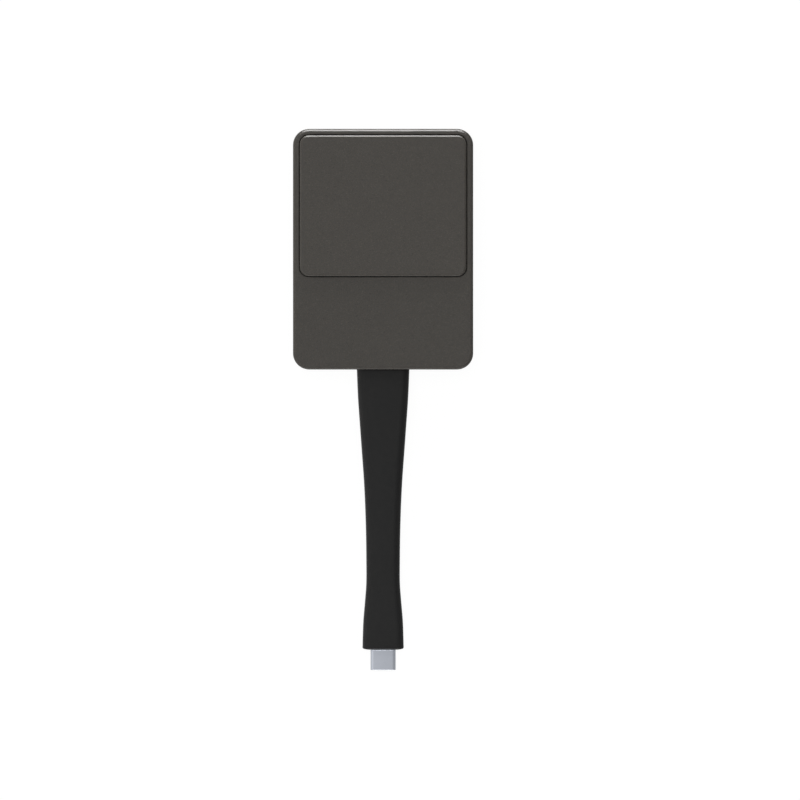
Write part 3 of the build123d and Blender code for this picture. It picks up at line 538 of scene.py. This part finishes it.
class DONGLE_OT_domes(bpy.types.Operator):
    """Make the silicone return domes and the switch's snap dome, which the button flattens"""

    bl_idname = "dongle.domes"
    bl_label = "Make the Domes"

    def execute(self, context):
        make_return_domes()
        make_snap_dome()
        return {"FINISHED"}


def make_return_domes():
    """Four soft domes of one profile, each a closed shell under the button."""
    low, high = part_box("return_domes")
    base = 3.2 * MM
    top = 1.6 * MM
    wall = 0.5 * MM
    thick_wall = 0.7 * MM
    soft = 0.1 * MM
    height = high.z - low.z
    profile = [
        (0, height),
        (top - soft, height),
        (top, height - soft),
        (top + wall, height - wall),
        (base - soft / 2, wall + soft),
        (base, wall - soft / 2),
        (base, 0),
        (base - thick_wall, 0),
        (top - wall, height - thick_wall),
        (0, height - thick_wall),
    ]
    bm = bmesh.new()
    spread_x = (high.x - low.x) / 2 - base
    spread_y = (high.y - low.y) / 2 - base
    for side in (-1, 1):
        for end in (-1, 1):
            middle = Vector((side * spread_x, (high.y + low.y) / 2 + end * spread_y, low.z))
            turned(bm, [(radius, low.z + rise) for radius, rise in profile], middle, dome_steps)
    bmesh.ops.remove_doubles(bm, verts=bm.verts[:], dist=merge_distance)
    bmesh.ops.recalc_face_normals(bm, faces=bm.faces[:])
    domes = mesh_object("silicone_domes", bm, "housing")
    domes.data.materials.append(material_of("silicone"))
    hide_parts("return_domes")
    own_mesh(domes)


def make_snap_dome():
    """The thin metal dome in the switch, arched over the well's floor."""
    low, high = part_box("switch_dome")
    radius = (high.x - low.x) / 2
    rise = high.z - low.z
    ball = (radius**2 + rise**2) / (2 * rise)
    sheet = 0.1 * MM
    reach = math.asin(radius / ball)
    angles = [reach * step / snap_arc_steps for step in range(snap_arc_steps + 1)]
    outer = [(ball * math.sin(angle), ball * math.cos(angle)) for angle in angles]
    middle = Vector(((low.x + high.x) / 2, (low.y + high.y) / 2, high.z - ball))
    shrunk = 1 - sheet / ball
    inner = [(across * shrunk, up * shrunk) for across, up in reversed(outer)]
    profile = [(across, max(middle.z + up, low.z)) for across, up in outer + inner]
    bm = bmesh.new()
    turned(bm, profile, middle, dome_steps)
    bmesh.ops.remove_doubles(bm, verts=bm.verts[:], dist=merge_distance)
    bmesh.ops.recalc_face_normals(bm, faces=bm.faces[:])
    dome = mesh_object("snap_dome", bm, "housing")
    dome.data.materials.append(material_of("spring_steel"))
    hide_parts("switch_dome")
    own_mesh(dome)


# The plug's shell


def shell_sections(settings):
    """The shell's sections: its outside from the cable's end to the mouth, and back inside."""
    width = shell_high.x - shell_low.x
    thickness = shell_high.z - shell_low.z
    side = shell_side_round

    def inset(y, amount):
        return Section(y, width - 2 * amount, thickness - 2 * amount, side - amount)

    collar_near_y = tail_low.y - tail_fit_gap
    collar_far_y = tail_low.y - settings.collar_length
    proud = settings.collar_proud
    radius = settings.mouth_round
    sections = [
        inset(shell_high.y, 0),
        inset(collar_near_y, 0),
        inset(collar_near_y, -proud),
        inset(collar_far_y, -proud),
        inset(collar_far_y - proud, 0),
        inset((collar_far_y + shell_low.y + radius) / 2, 0),
    ]
    mouth_steps = 5
    for step in range(mouth_steps + 1):
        angle = math.pi / 2 * step / mouth_steps
        sections.append(
            inset(shell_low.y + radius * (1 - math.sin(angle)), radius * (1 - math.cos(angle)))
        )
    mouth = shell_wall + shell_lip_reach
    lip_y = shell_low.y + shell_lip
    sections += [
        inset(shell_low.y, mouth),
        inset(lip_y, mouth),
        inset(lip_y, shell_wall),
        inset(shell_high.y, shell_wall),
    ]
    return sections


class DONGLE_OT_plug(bpy.types.Operator):
    """Make the plug's drawn shell"""

    bl_idname = "dongle.plug"
    bl_label = "Make the Plug"

    def execute(self, context):
        bm = sleeve(shell_sections(context.scene.dongle_plug), context.scene.dongle_tail.corner_steps)
        shell = mesh_object("plug_drawn_shell", bm, "plug")
        shell.data.materials.append(material_of("plug_steel"))
        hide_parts("plug_shell")
        return {"FINISHED"}


# Node helpers for the materials

noise_low = 0.3
noise_high = 0.7


def add_node(tree, kind, inputs=None, **settings):
    """Adds a shader node, and fills or links its inputs by their names or numbers."""
    node = tree.nodes.new("ShaderNode" + kind)
    for name, value in settings.items():
        setattr(node, name, value)
    for name, value in (inputs or {}).items():
        if isinstance(value, bpy.types.NodeSocket):
            tree.links.new(value, node.inputs[name])
        else:
            node.inputs[name].default_value = value
    return node


def object_place(tree, stretch=(1, 1, 1), turn=(0, 0, 0)):
    """The place on the object in millimetres, stretched or turned for a directed pattern."""
    place = add_node(tree, "TexCoord").outputs["Object"]
    scale = [factor / MM for factor in stretch]
    return mapped(tree, place, scale, turn)


def rest_place(tree, stretch=(1, 1, 1)):
    """The place at rest in millimetres, on a piece that bends."""
    place = add_node(tree, "Attribute", attribute_name="rest_place").outputs["Vector"]
    return mapped(tree, place, stretch, (0, 0, 0))


def mapped(tree, vector, scale, turn):
    """A vector turned and scaled."""
    inputs = {"Vector": vector, "Scale": scale, "Rotation": turn}
    return add_node(tree, "Mapping", inputs).outputs["Vector"]


def noise(tree, vector, scale, detail=2.0, rough=0.5):
    """Noise from 0 to 1 with so many features a millimetre."""
    inputs = {"Vector": vector, "Scale": scale, "Detail": detail, "Roughness": rough}
    return add_node(tree, "TexNoise", inputs).outputs["Fac"]


def spread(tree, value, low, high, new_low, new_high):
    """Maps a range of a value onto another one."""
    inputs = {
        "Value": value,
        "From Min": low,
        "From Max": high,
        "To Min": new_low,
        "To Max": new_high,
    }
    return add_node(tree, "MapRange", inputs).outputs["Result"]


def varied(tree, pattern, low, high):
    """Maps the values that most of a noise lies between onto a range."""
    return spread(tree, pattern, noise_low, noise_high, low, high)


def dull_at_grazing(tree, rough):
    """A roughness that rises where a texture is seen all but edge on, and its peaks hide the gloss."""
    edge_on = add_node(tree, "LayerWeight", {"Blend": 0.5}).outputs["Facing"]
    return mix_number(tree, spread(tree, edge_on, 0.85, 0.95, 0, 1), rough, 1.0)


def mix_colour(tree, share, first, second, blend="MIX"):
    """Mixes two colours, which are sockets or tuples."""
    node = add_node(tree, "Mix", data_type="RGBA", blend_type=blend)
    for socket, value in ((0, share), (6, first), (7, second)):
        if isinstance(value, bpy.types.NodeSocket):
            tree.links.new(value, node.inputs[socket])
        else:
            node.inputs[socket].default_value = value
    return node.outputs[2]


def mix_number(tree, share, first, second):
    """Mixes two numbers, which are sockets or values."""
    return add_node(tree, "Mix", {0: share, 2: first, 3: second}, data_type="FLOAT").outputs[0]


def calculate(tree, operation, first, second=0.0):
    """A sum, product or other result of two numbers."""
    return add_node(tree, "Math", {0: first, 1: second}, operation=operation).outputs[0]


def tinted(colour, red=1.0, green=1.0, blue=1.0):
    """A colour with its channels scaled, as a node wants it."""
    return (colour[0] * red, colour[1] * green, colour[2] * blue, 1.0)


def bumped(tree, height, depth, before=None):
    """A normal that follows a height of so many metres."""
    inputs = {"Height": height, "Distance": depth, "Strength": 1.0}
    if before:
        inputs["Normal"] = before
    return add_node(tree, "Bump", inputs).outputs["Normal"]


def finish_name(slot):
    """The name of a slot's procedural material, apart from the frame's plain one."""
    return slot + "_finish"


def new_material(slot, **uniform):
    """Makes a slot's material, and returns its tree and a shader with values that are even all over."""
    material = bpy.data.materials.new(finish_name(slot))
    material.use_nodes = True
    tree = material.node_tree
    tree.nodes.clear()
    shader = add_node(tree, "BsdfPrincipled")
    for socket, value in uniform.items():
        shader.inputs[socket.replace("_", " ")].default_value = value
    output = add_node(tree, "OutputMaterial")
    tree.links.new(shader.outputs["BSDF"], output.inputs["Surface"])
    return tree, shader


def drive(tree, shader, **sockets):
    """Links sockets of the shader."""
    for name, value in sockets.items():
        tree.links.new(value, shader.inputs[name.replace("_", " ")])


def material_of(slot):
    """The material of a slot, made once."""
    if finish_name(slot) not in bpy.data.materials:
        finishes[slot](slot)
    return bpy.data.materials[finish_name(slot)]


# Materials of what shows


def textured_plastic(name):
    """Warm grey plastic from a spark-eroded mould: a fine grain with a fainter warm and cool one."""
    settings = bpy.context.scene.dongle_plastic
    colour = [value * settings.body_share for value in slot_colour[name]]
    tree, shader = new_material(name, Specular_IOR_Level=0.2)
    place = object_place(tree)
    grain = noise(tree, place, MM / settings.grain, 3.0, 0.6)
    mottle = noise(tree, place, 2.6, 2.0)
    cloud = noise(tree, place, 0.08, 2.0)
    warm = tinted(colour, 1.022, 1.0, 0.97)
    cool = tinted(colour, 0.978, 1.0, 1.023)
    body = mix_colour(tree, spread(tree, mottle, 0.35, 0.65, 0, 1), warm, cool)
    shade = varied(tree, grain, 0.55, 1.45)
    soft = varied(tree, cloud, 0.99, 1.01)
    level = calculate(tree, "MULTIPLY", shade, soft)
    body = mix_colour(tree, 1.0, body, grey(tree, level), "MULTIPLY")
    rough = varied(tree, grain, settings.roughness + 0.06, settings.roughness - 0.04)
    drive(
        tree,
        shader,
        Base_Color=body,
        Roughness=dull_at_grazing(tree, rough),
        Normal=bumped(tree, grain, settings.grain_depth),
    )


def grey(tree, value):
    """A grey of a value."""
    inputs = {"Red": value, "Green": value, "Blue": value}
    return add_node(tree, "CombineColor", inputs).outputs["Color"]


def tail_rubber(name):
    """Black moulded rubber with a very fine grain, which bends with the tail."""
    settings = bpy.context.scene.dongle_tail
    colour = slot_colour[name]
    tree, shader = new_material(name, Specular_IOR_Level=0.12)
    place = rest_place(tree)
    grain = noise(tree, place, 4.0, 3.0, 0.6)
    mottle = noise(tree, place, 0.5, 2.0)
    dark, light = tinted(colour, 0.94, 0.95, 0.96), tinted(colour, 1.06, 1.05, 1.04)
    body = mix_colour(tree, varied(tree, mottle, 0, 1), dark, light)
    rough = varied(tree, grain, settings.roughness - 0.05, settings.roughness + 0.05)
    drive(
        tree,
        shader,
        Base_Color=body,
        Roughness=dull_at_grazing(tree, rough),
        Normal=bumped(tree, grain, 0.01 * MM),
    )


def plug_steel(name):
    """Satin nickel on drawn steel, with fine marks along the way that it was drawn."""
    settings = bpy.context.scene.dongle_plug
    colour = slot_colour[name]
    tree, shader = new_material(name, Metallic=1.0)
    marks = noise(tree, object_place(tree, (9.0, 0.35, 9.0)), 1.0, 3.0)
    haze = noise(tree, object_place(tree), 0.9, 2.0)
    body = mix_colour(tree, haze, tinted(colour, 0.97, 0.97, 0.98), tinted(colour, 1.03, 1.03, 1.02))
    rough = varied(tree, marks, settings.roughness - 0.02, settings.roughness + 0.02)
    drive(tree, shader, Base_Color=body, Roughness=rough, Normal=bumped(tree, marks, 0.0004 * MM))


# Materials of the pieces inside and underneath


def moulded(name, roughness=0.45, grain=2.5, depth=0.004 * MM, specular=0.4, mottle=0.06):
    """Plain moulded plastic or epoxy with a faint flow pattern."""
    colour = slot_colour[name]
    tree, shader = new_material(name, Specular_IOR_Level=specular)
    place = object_place(tree)
    flow = noise(tree, place, 0.3, 3.0)
    fine = noise(tree, place, grain, 3.0)
    light = 1 + mottle
    dark = 1 - mottle
    body = mix_colour(tree, flow, tinted(colour, dark, dark, dark), tinted(colour, light, light, light))
    rough = varied(tree, fine, roughness - 0.06, roughness + 0.08)
    drive(tree, shader, Base_Color=body, Roughness=rough, Normal=bumped(tree, fine, depth))


def rubber(name, roughness=0.7, grain=3.0, depth=0.012 * MM, bends=False, specular=0.25):
    """Matt rubber or silicone with a fine grain and a little dust."""
    colour = slot_colour[name]
    tree, shader = new_material(
        name, Specular_IOR_Level=specular, Sheen_Weight=0.05, Sheen_Roughness=0.5
    )
    place = rest_place(tree) if bends else object_place(tree)
    fine = noise(tree, place, grain, 3.0, 0.6)
    dust = noise(tree, place, 0.35, 3.0)
    pale = tinted([value + 0.012 for value in colour])
    body = mix_colour(tree, spread(tree, dust, 0.45, 0.75, 0, 0.6), tinted(colour), pale)
    rough = varied(tree, fine, roughness - 0.06, roughness + 0.08)
    drive(tree, shader, Base_Color=body, Roughness=rough, Normal=bumped(tree, fine, depth))


def metal(name, roughness=0.32, stretch=(0.4, 6.0, 6.0), depth=0.002 * MM):
    """Plated or stamped metal with fine rolling marks and a little haze."""
    colour = slot_colour[name]
    tree, shader = new_material(name, Metallic=1.0)
    marks = noise(tree, object_place(tree, stretch), 1.5, 3.0)
    haze = noise(tree, object_place(tree), 0.4, 3.0)
    body = mix_colour(tree, haze, tinted(colour, 0.9, 0.9, 0.9), tinted(colour, 1.06, 1.06, 1.06))
    rough = varied(tree, marks, roughness - 0.08, roughness + 0.12)
    drive(tree, shader, Base_Color=body, Roughness=rough, Normal=bumped(tree, marks, depth))


def board_laminate(name):
    """Solder mask over copper: traces at right angles, a weave in the glass and small plated holes."""
    colour = slot_colour[name]
    tree, shader = new_material(name, Specular_IOR_Level=0.5, Coat_Weight=0.2, Coat_Roughness=0.2)
    place = object_place(tree)
    bend = noise(tree, place, 0.12, 0.0)
    along = add_node(
        tree,
        "TexBrick",
        {
            "Vector": place,
            "Scale": 0.9,
            "Mortar Size": 0.12,
            "Mortar Smooth": 0.3,
            "Brick Width": 6.0,
            "Row Height": 0.5,
        },
    ).outputs["Fac"]
    across = add_node(
        tree,
        "TexBrick",
        {
            "Vector": object_place(tree, turn=(0, 0, math.pi / 2)),
            "Scale": 0.9,
            "Mortar Size": 0.12,
            "Mortar Smooth": 0.3,
            "Brick Width": 5.0,
            "Row Height": 0.55,
        },
    ).outputs["Fac"]
    side = spread(tree, bend, 0.48, 0.5, 0, 1)
    traces = mix_colour(tree, side, grey(tree, along), grey(tree, across))
    holes = add_node(tree, "TexVoronoi", {"Vector": place, "Scale": 0.32}).outputs["Distance"]
    ring = spread(tree, holes, 0.05, 0.07, 1, 0)
    mask = mix_colour(tree, traces, tinted(colour, 1.35, 1.3, 1.3), tinted(colour, 0.7, 0.75, 0.75))
    body = mix_colour(tree, ring, mask, tinted(slot_colour["gold_plate"]))
    weave = noise(tree, object_place(tree, (3.0, 3.0, 0.5)), 2.0, 1.0)
    rough = varied(tree, weave, 0.28, 0.42)
    drive(tree, shader, Base_Color=body, Roughness=rough, Normal=bumped(tree, weave, 0.004 * MM))


def braid_metal(name):
    """Tinned copper strands, woven both ways round the cable, with painted shade where the weave lies low.
    """
    colour = slot_colour[name]
    tree, shader = new_material(name, Metallic=1.0)
    place = add_node(tree, "SeparateXYZ", {"Vector": rest_place(tree)})
    up = calculate(tree, "SUBTRACT", place.outputs["Z"], axis_z / MM)
    angle = calculate(tree, "ARCTAN2", place.outputs["X"], up)
    turns = calculate(tree, "MULTIPLY", angle, 8)
    along = calculate(tree, "MULTIPLY", place.outputs["Y"], 4.5)
    one_way = calculate(tree, "SINE", calculate(tree, "ADD", turns, along))
    other_way = calculate(tree, "SINE", calculate(tree, "SUBTRACT", turns, along))
    weave = calculate(tree, "MAXIMUM", one_way, other_way)
    height = spread(tree, weave, -1, 1, 0, 1)
    # painted shade: the strands are darker where the weave lies low, between them
    body = mix_colour(tree, height, tinted(colour, 0.35, 0.35, 0.36), tinted(colour, 1.05, 1.05, 1.04))
    rough = spread(tree, height, 0, 1, 0.55, 0.32)
    drive(tree, shader, Base_Color=body, Roughness=rough, Normal=bumped(tree, height, 0.06 * MM))


def wire_insulation(name):
    """Smooth coloured insulation that bends with the cable."""
    rubber(name, roughness=0.38, grain=2.0, depth=0.003 * MM, bends=True, specular=0.5)


finishes = {
    "housing_plastic": textured_plastic,
    "button_plastic": textured_plastic,
    "tail_rubber": tail_rubber,
    "plug_steel": plug_steel,
    "inner_plastic": lambda name: moulded(name, 0.5, 2.0, 0.006 * MM),
    "foot_rubber": lambda name: rubber(name, 0.75, 2.2, 0.02 * MM),
    "screw_steel": lambda name: metal(name, 0.34, (3.0, 3.0, 8.0)),
    "silicone": lambda name: rubber(name, 0.5, 1.6, 0.006 * MM, specular=0.4),
    "switch_plastic": lambda name: moulded(name, 0.42),
    "plunger_plastic": lambda name: moulded(name, 0.35, specular=0.5),
    "spring_steel": lambda name: metal(name, 0.26, (8.0, 0.5, 8.0)),
    "tinned_metal": lambda name: metal(name, 0.4, (2.0, 2.0, 2.0), 0.004 * MM),
    "board_laminate": board_laminate,
    "can_metal": lambda name: metal(name, 0.36, (0.4, 7.0, 7.0)),
    "chip_black": lambda name: moulded(name, 0.55, 5.0, 0.006 * MM, 0.35, 0.1),
    "ferrite": lambda name: moulded(name, 0.7, 3.5, 0.02 * MM, 0.3, 0.15),
    "capacitor_ceramic": lambda name: moulded(name, 0.4, 3.0, 0.004 * MM, 0.5, 0.08),
    "resistor_ceramic": lambda name: moulded(name, 0.35, 3.0, 0.004 * MM, 0.5, 0.1),
    "gold_plate": lambda name: metal(name, 0.22, (4.0, 0.8, 4.0), 0.001 * MM),
    "thermal_silicone": lambda name: rubber(name, 0.65, 1.2, 0.03 * MM),
    "spreader_metal": lambda name: metal(name, 0.38, (0.3, 5.0, 5.0), 0.004 * MM),
    "connector_plastic": lambda name: moulded(name, 0.42, 2.0, 0.004 * MM, 0.5),
    "lead_black": lambda name: rubber(name, 0.45, 2.0, 0.004 * MM, specular=0.45),
    "wire_insulation": wire_insulation,
    "braid_metal": braid_metal,
    "jacket_rubber": lambda name: rubber(name, 0.55, 2.4, 0.008 * MM, bends=True),
    "plug_plastic": lambda name: moulded(name, 0.4),
    "mould_plastic": lambda name: moulded(name, 0.5),
}


class DONGLE_OT_finishes(bpy.types.Operator):
    """Give every node of the frame its finish"""

    bl_idname = "dongle.finishes"
    bl_label = "Finish the Pieces"

    def execute(self, context):
        for name, node in frame["nodes"].items():
            material = material_of(slot_of[name])
            node.data.materials.clear()
            node.data.materials.append(material)
        return {"FINISHED"}


# The studio

floor_drop = 0.02 * MM  # keeps the floor clear of the feet's flat undersides


def aim(thing, place, target):
    """Puts a lamp or the camera at a place and turns it to a target."""
    thing.location = place
    thing.rotation_euler = (Vector(target) - Vector(place)).to_track_quat("-Z", "Y").to_euler()


def area_lamp(name, place, target, size, power):
    """A soft lamp that the camera doesn't see."""
    lamp = bpy.data.lights.new(name, "AREA")
    lamp.shape = "RECTANGLE"
    lamp.size, lamp.size_y = size
    lamp.energy = power
    thing = bpy.data.objects.new(name, lamp)
    thing.visible_camera = False
    bpy.context.scene.collection.objects.link(thing)
    aim(thing, place, target)
    return thing


def make_camera(settings):
    """Looks straight down, from far enough for nearly parallel rays."""
    sensor = 36.0
    camera = bpy.data.cameras.new("camera")
    camera.sensor_width = sensor
    camera.lens = sensor * settings.camera_height / settings.frame_width
    camera.clip_start = 0.1
    camera.clip_end = 20.0
    thing = bpy.data.objects.new("camera", camera)
    thing.location = Vector(settings.middle) + Vector((0, 0, settings.camera_height))
    bpy.context.scene.collection.objects.link(thing)
    bpy.context.scene.camera = thing


def make_floor(settings):
    """A pale floor that the camera sees as white, with the object's shadow, and whose glow for glossy
    surfaces is painted darker towards the right as painted shade.
    """
    bm = bmesh.new()
    bmesh.ops.create_grid(bm, x_segments=1, y_segments=1, size=settings.floor_size / 2)
    bmesh.ops.translate(bm, verts=bm.verts[:], vec=(0, 0, -floor_drop))
    floor = mesh_object("floor", bm)
    material = bpy.data.materials.new("floor_white")
    material.use_nodes = True
    tree = material.node_tree
    tree.nodes.clear()
    seen = add_node(tree, "LightPath")
    diffuse = add_node(tree, "BsdfDiffuse", {"Color": (*settings.floor_colour, 1.0)})
    side = add_node(tree, "SeparateXYZ", {"Vector": add_node(tree, "TexCoord").outputs["Object"]})
    # painted shade: the glow that glossy surfaces see fades from 0.8 to 0.4 towards +X, standing in for a
    # darker right side
    mirrored = spread(tree, side.outputs["X"], -0.01, 0.03, 0.8, 0.4)
    strength = mix_number(tree, seen.outputs["Is Glossy Ray"], 1.05, mirrored)
    glow = add_node(tree, "Emission", {"Color": (1.0, 1.0, 1.0, 1.0), "Strength": strength})
    direct = calculate(tree, "MAXIMUM", seen.outputs["Is Camera Ray"], seen.outputs["Is Glossy Ray"])
    direct = calculate(tree, "MAXIMUM", direct, seen.outputs["Is Transmission Ray"])
    share = calculate(tree, "MULTIPLY", direct, 0.9)
    both = add_node(tree, "MixShader", {0: share, 1: diffuse.outputs[0], 2: glow.outputs[0]})
    output = add_node(tree, "OutputMaterial")
    tree.links.new(both.outputs[0], output.inputs["Surface"])
    floor.data.materials.append(material)


def make_world(settings):
    """A white backdrop up to just over the horizon, and a room whose right side is darker."""
    world = bpy.data.worlds.new("room")
    bpy.context.scene.world = world
    world.use_nodes = True
    tree = world.node_tree
    tree.nodes.clear()
    seen = add_node(tree, "LightPath")
    way = add_node(tree, "SeparateXYZ", {"Vector": add_node(tree, "TexCoord").outputs["Generated"]})
    side = spread(tree, way.outputs["X"], -0.8, 0.8, 1.2, 0.55)
    strength = mix_number(
        tree, seen.outputs["Is Glossy Ray"], settings.room_light, settings.room_gloss
    )
    room = add_node(tree, "Background", {"Color": grey(tree, side), "Strength": strength})
    white = add_node(tree, "Background", {"Color": (1.0, 1.0, 1.0, 1.0), "Strength": 1.0})
    backdrop = spread(tree, way.outputs["Z"], 0.05, 0.1, 1, 0)
    mirrored = calculate(tree, "MULTIPLY", seen.outputs["Is Glossy Ray"], backdrop)
    direct = calculate(tree, "MAXIMUM", seen.outputs["Is Camera Ray"], mirrored)
    direct = calculate(tree, "MAXIMUM", direct, seen.outputs["Is Transmission Ray"])
    both = add_node(tree, "MixShader", {0: direct, 1: room.outputs[0], 2: white.outputs[0]})
    output = add_node(tree, "OutputWorld")
    tree.links.new(both.outputs[0], output.inputs["Surface"])


class DONGLE_OT_stage(bpy.types.Operator):
    """Set up the camera, the floor and the lights"""

    bl_idname = "dongle.stage"
    bl_label = "Set Up the Studio"

    def execute(self, context):
        settings = context.scene.dongle_stage
        make_camera(settings)
        make_floor(settings)
        make_world(settings)
        target = (0, -0.03, 0.01)
        gloss = area_lamp("head_gloss", (0.0, 0.8, 0.42), target, (0.7, 0.85), settings.head_gloss)
        gloss.visible_diffuse = False
        ceiling = area_lamp("ceiling_lamp", (0.0, -0.03, 1.5), target, (1.3, 1.3), settings.ceiling_light)
        ceiling.visible_glossy = False
        area_lamp("head_lamp", (0.0, 0.9, 0.13), target, (1.0, 0.2), settings.head_light)
        side = area_lamp("side_lamp", (-0.9, -0.04, 0.13), target, (1.0, 0.2), settings.side_light)
        side.visible_glossy = False
        area_lamp("tail_lamp", (0.0, -0.95, 0.13), target, (1.0, 0.2), settings.tail_light)
        context.scene.view_settings.view_transform = "Standard"
        return {"FINISHED"}


class DONGLE_OT_cord(bpy.types.Operator):
    """Read points along the tail's line and list the pieces on it and the plug's nodes"""

    bl_idname = "dongle.cord"
    bl_label = "Declare the Tail"

    def execute(self, context):
        route = tail_route()
        on_it = ["cable_jacket_pipe", "cable_braid", "cable_wires", "plug_drawn_shell"]
        plug_nodes = frame["record"]["behaviour"]["bodies"]["plug"]
        on_it += [name for name in plug_nodes if name != "plug_shell"]
        return {"FINISHED"}


def tail_route():
    """Points along the tail's own line, read from its curve."""
    curve = bpy.data.curves.new("tail_line", "CURVE")
    curve.dimensions = "3D"
    spline = curve.splines.new("NURBS")
    ends = (tail_high.y, tail_wall_y - 40 * MM, tail_low.y)
    spline.points.add(len(ends) - 1)
    for point, y in zip(spline.points, ends):
        point.co = (0, y, axis_z, 1)
    spline.order_u = 3
    spline.use_endpoint_u = True
    line = bpy.data.objects.new("tail_line", curve)
    mesh = bpy.data.meshes.new_from_object(line)
    points = [tuple(vertex.co) for vertex in mesh.vertices]
    bpy.data.objects.remove(line)
    bpy.data.meshes.remove(mesh)
    bpy.data.curves.remove(curve)
    return points


class DONGLE_PT_sidebar(bpy.types.Panel):
    """The dongle's sizes, finishes and steps"""

    bl_idname = "DONGLE_PT_sidebar"
    bl_label = "Presentation Dongle"
    bl_space_type = "VIEW_3D"
    bl_region_type = "UI"
    bl_category = "Dongle"

    def draw(self, context):
        scene = context.scene
        groups = (scene.dongle_stage, scene.dongle_plastic, scene.dongle_tail, scene.dongle_plug)
        for settings in groups:
            box = self.layout.box()
            for name in settings.bl_rna.properties.keys():
                if name not in ("rna_type", "name"):
                    box.prop(settings, name)
        for operator in operators:
            self.layout.operator(operator.bl_idname)


operators = (
    DONGLE_OT_stage,
    DONGLE_OT_tail,
    DONGLE_OT_cable,
    DONGLE_OT_plug,
    DONGLE_OT_domes,
    DONGLE_OT_finishes,
    DONGLE_OT_cord,
)
setting_groups = {
    "dongle_stage": StageSettings,
    "dongle_plastic": PlasticSettings,
    "dongle_tail": TailSettings,
    "dongle_plug": PlugSettings,
}


def register():
    """Registers the settings, the operators and the panel."""
    for name, group in setting_groups.items():
        bpy.utils.register_class(group)
        setattr(bpy.types.Scene, name, PointerProperty(type=group))
    for operator in operators:
        bpy.utils.register_class(operator)
    bpy.utils.register_class(DONGLE_PT_sidebar)


def unregister():
    """Takes back what register made."""
    bpy.utils.unregister_class(DONGLE_PT_sidebar)
    for operator in reversed(operators):
        bpy.utils.unregister_class(operator)
    for name, group in setting_groups.items():
        delattr(bpy.types.Scene, name)
        bpy.utils.unregister_class(group)


def main():
    """Makes everything in order."""
    register()
    bpy.ops.dongle.stage()
    bpy.ops.dongle.tail()
    bpy.ops.dongle.cable()
    bpy.ops.dongle.plug()
    bpy.ops.dongle.domes()
    bpy.ops.dongle.finishes()
    bpy.ops.dongle.cord()


if __name__ == "__main__":
    main()
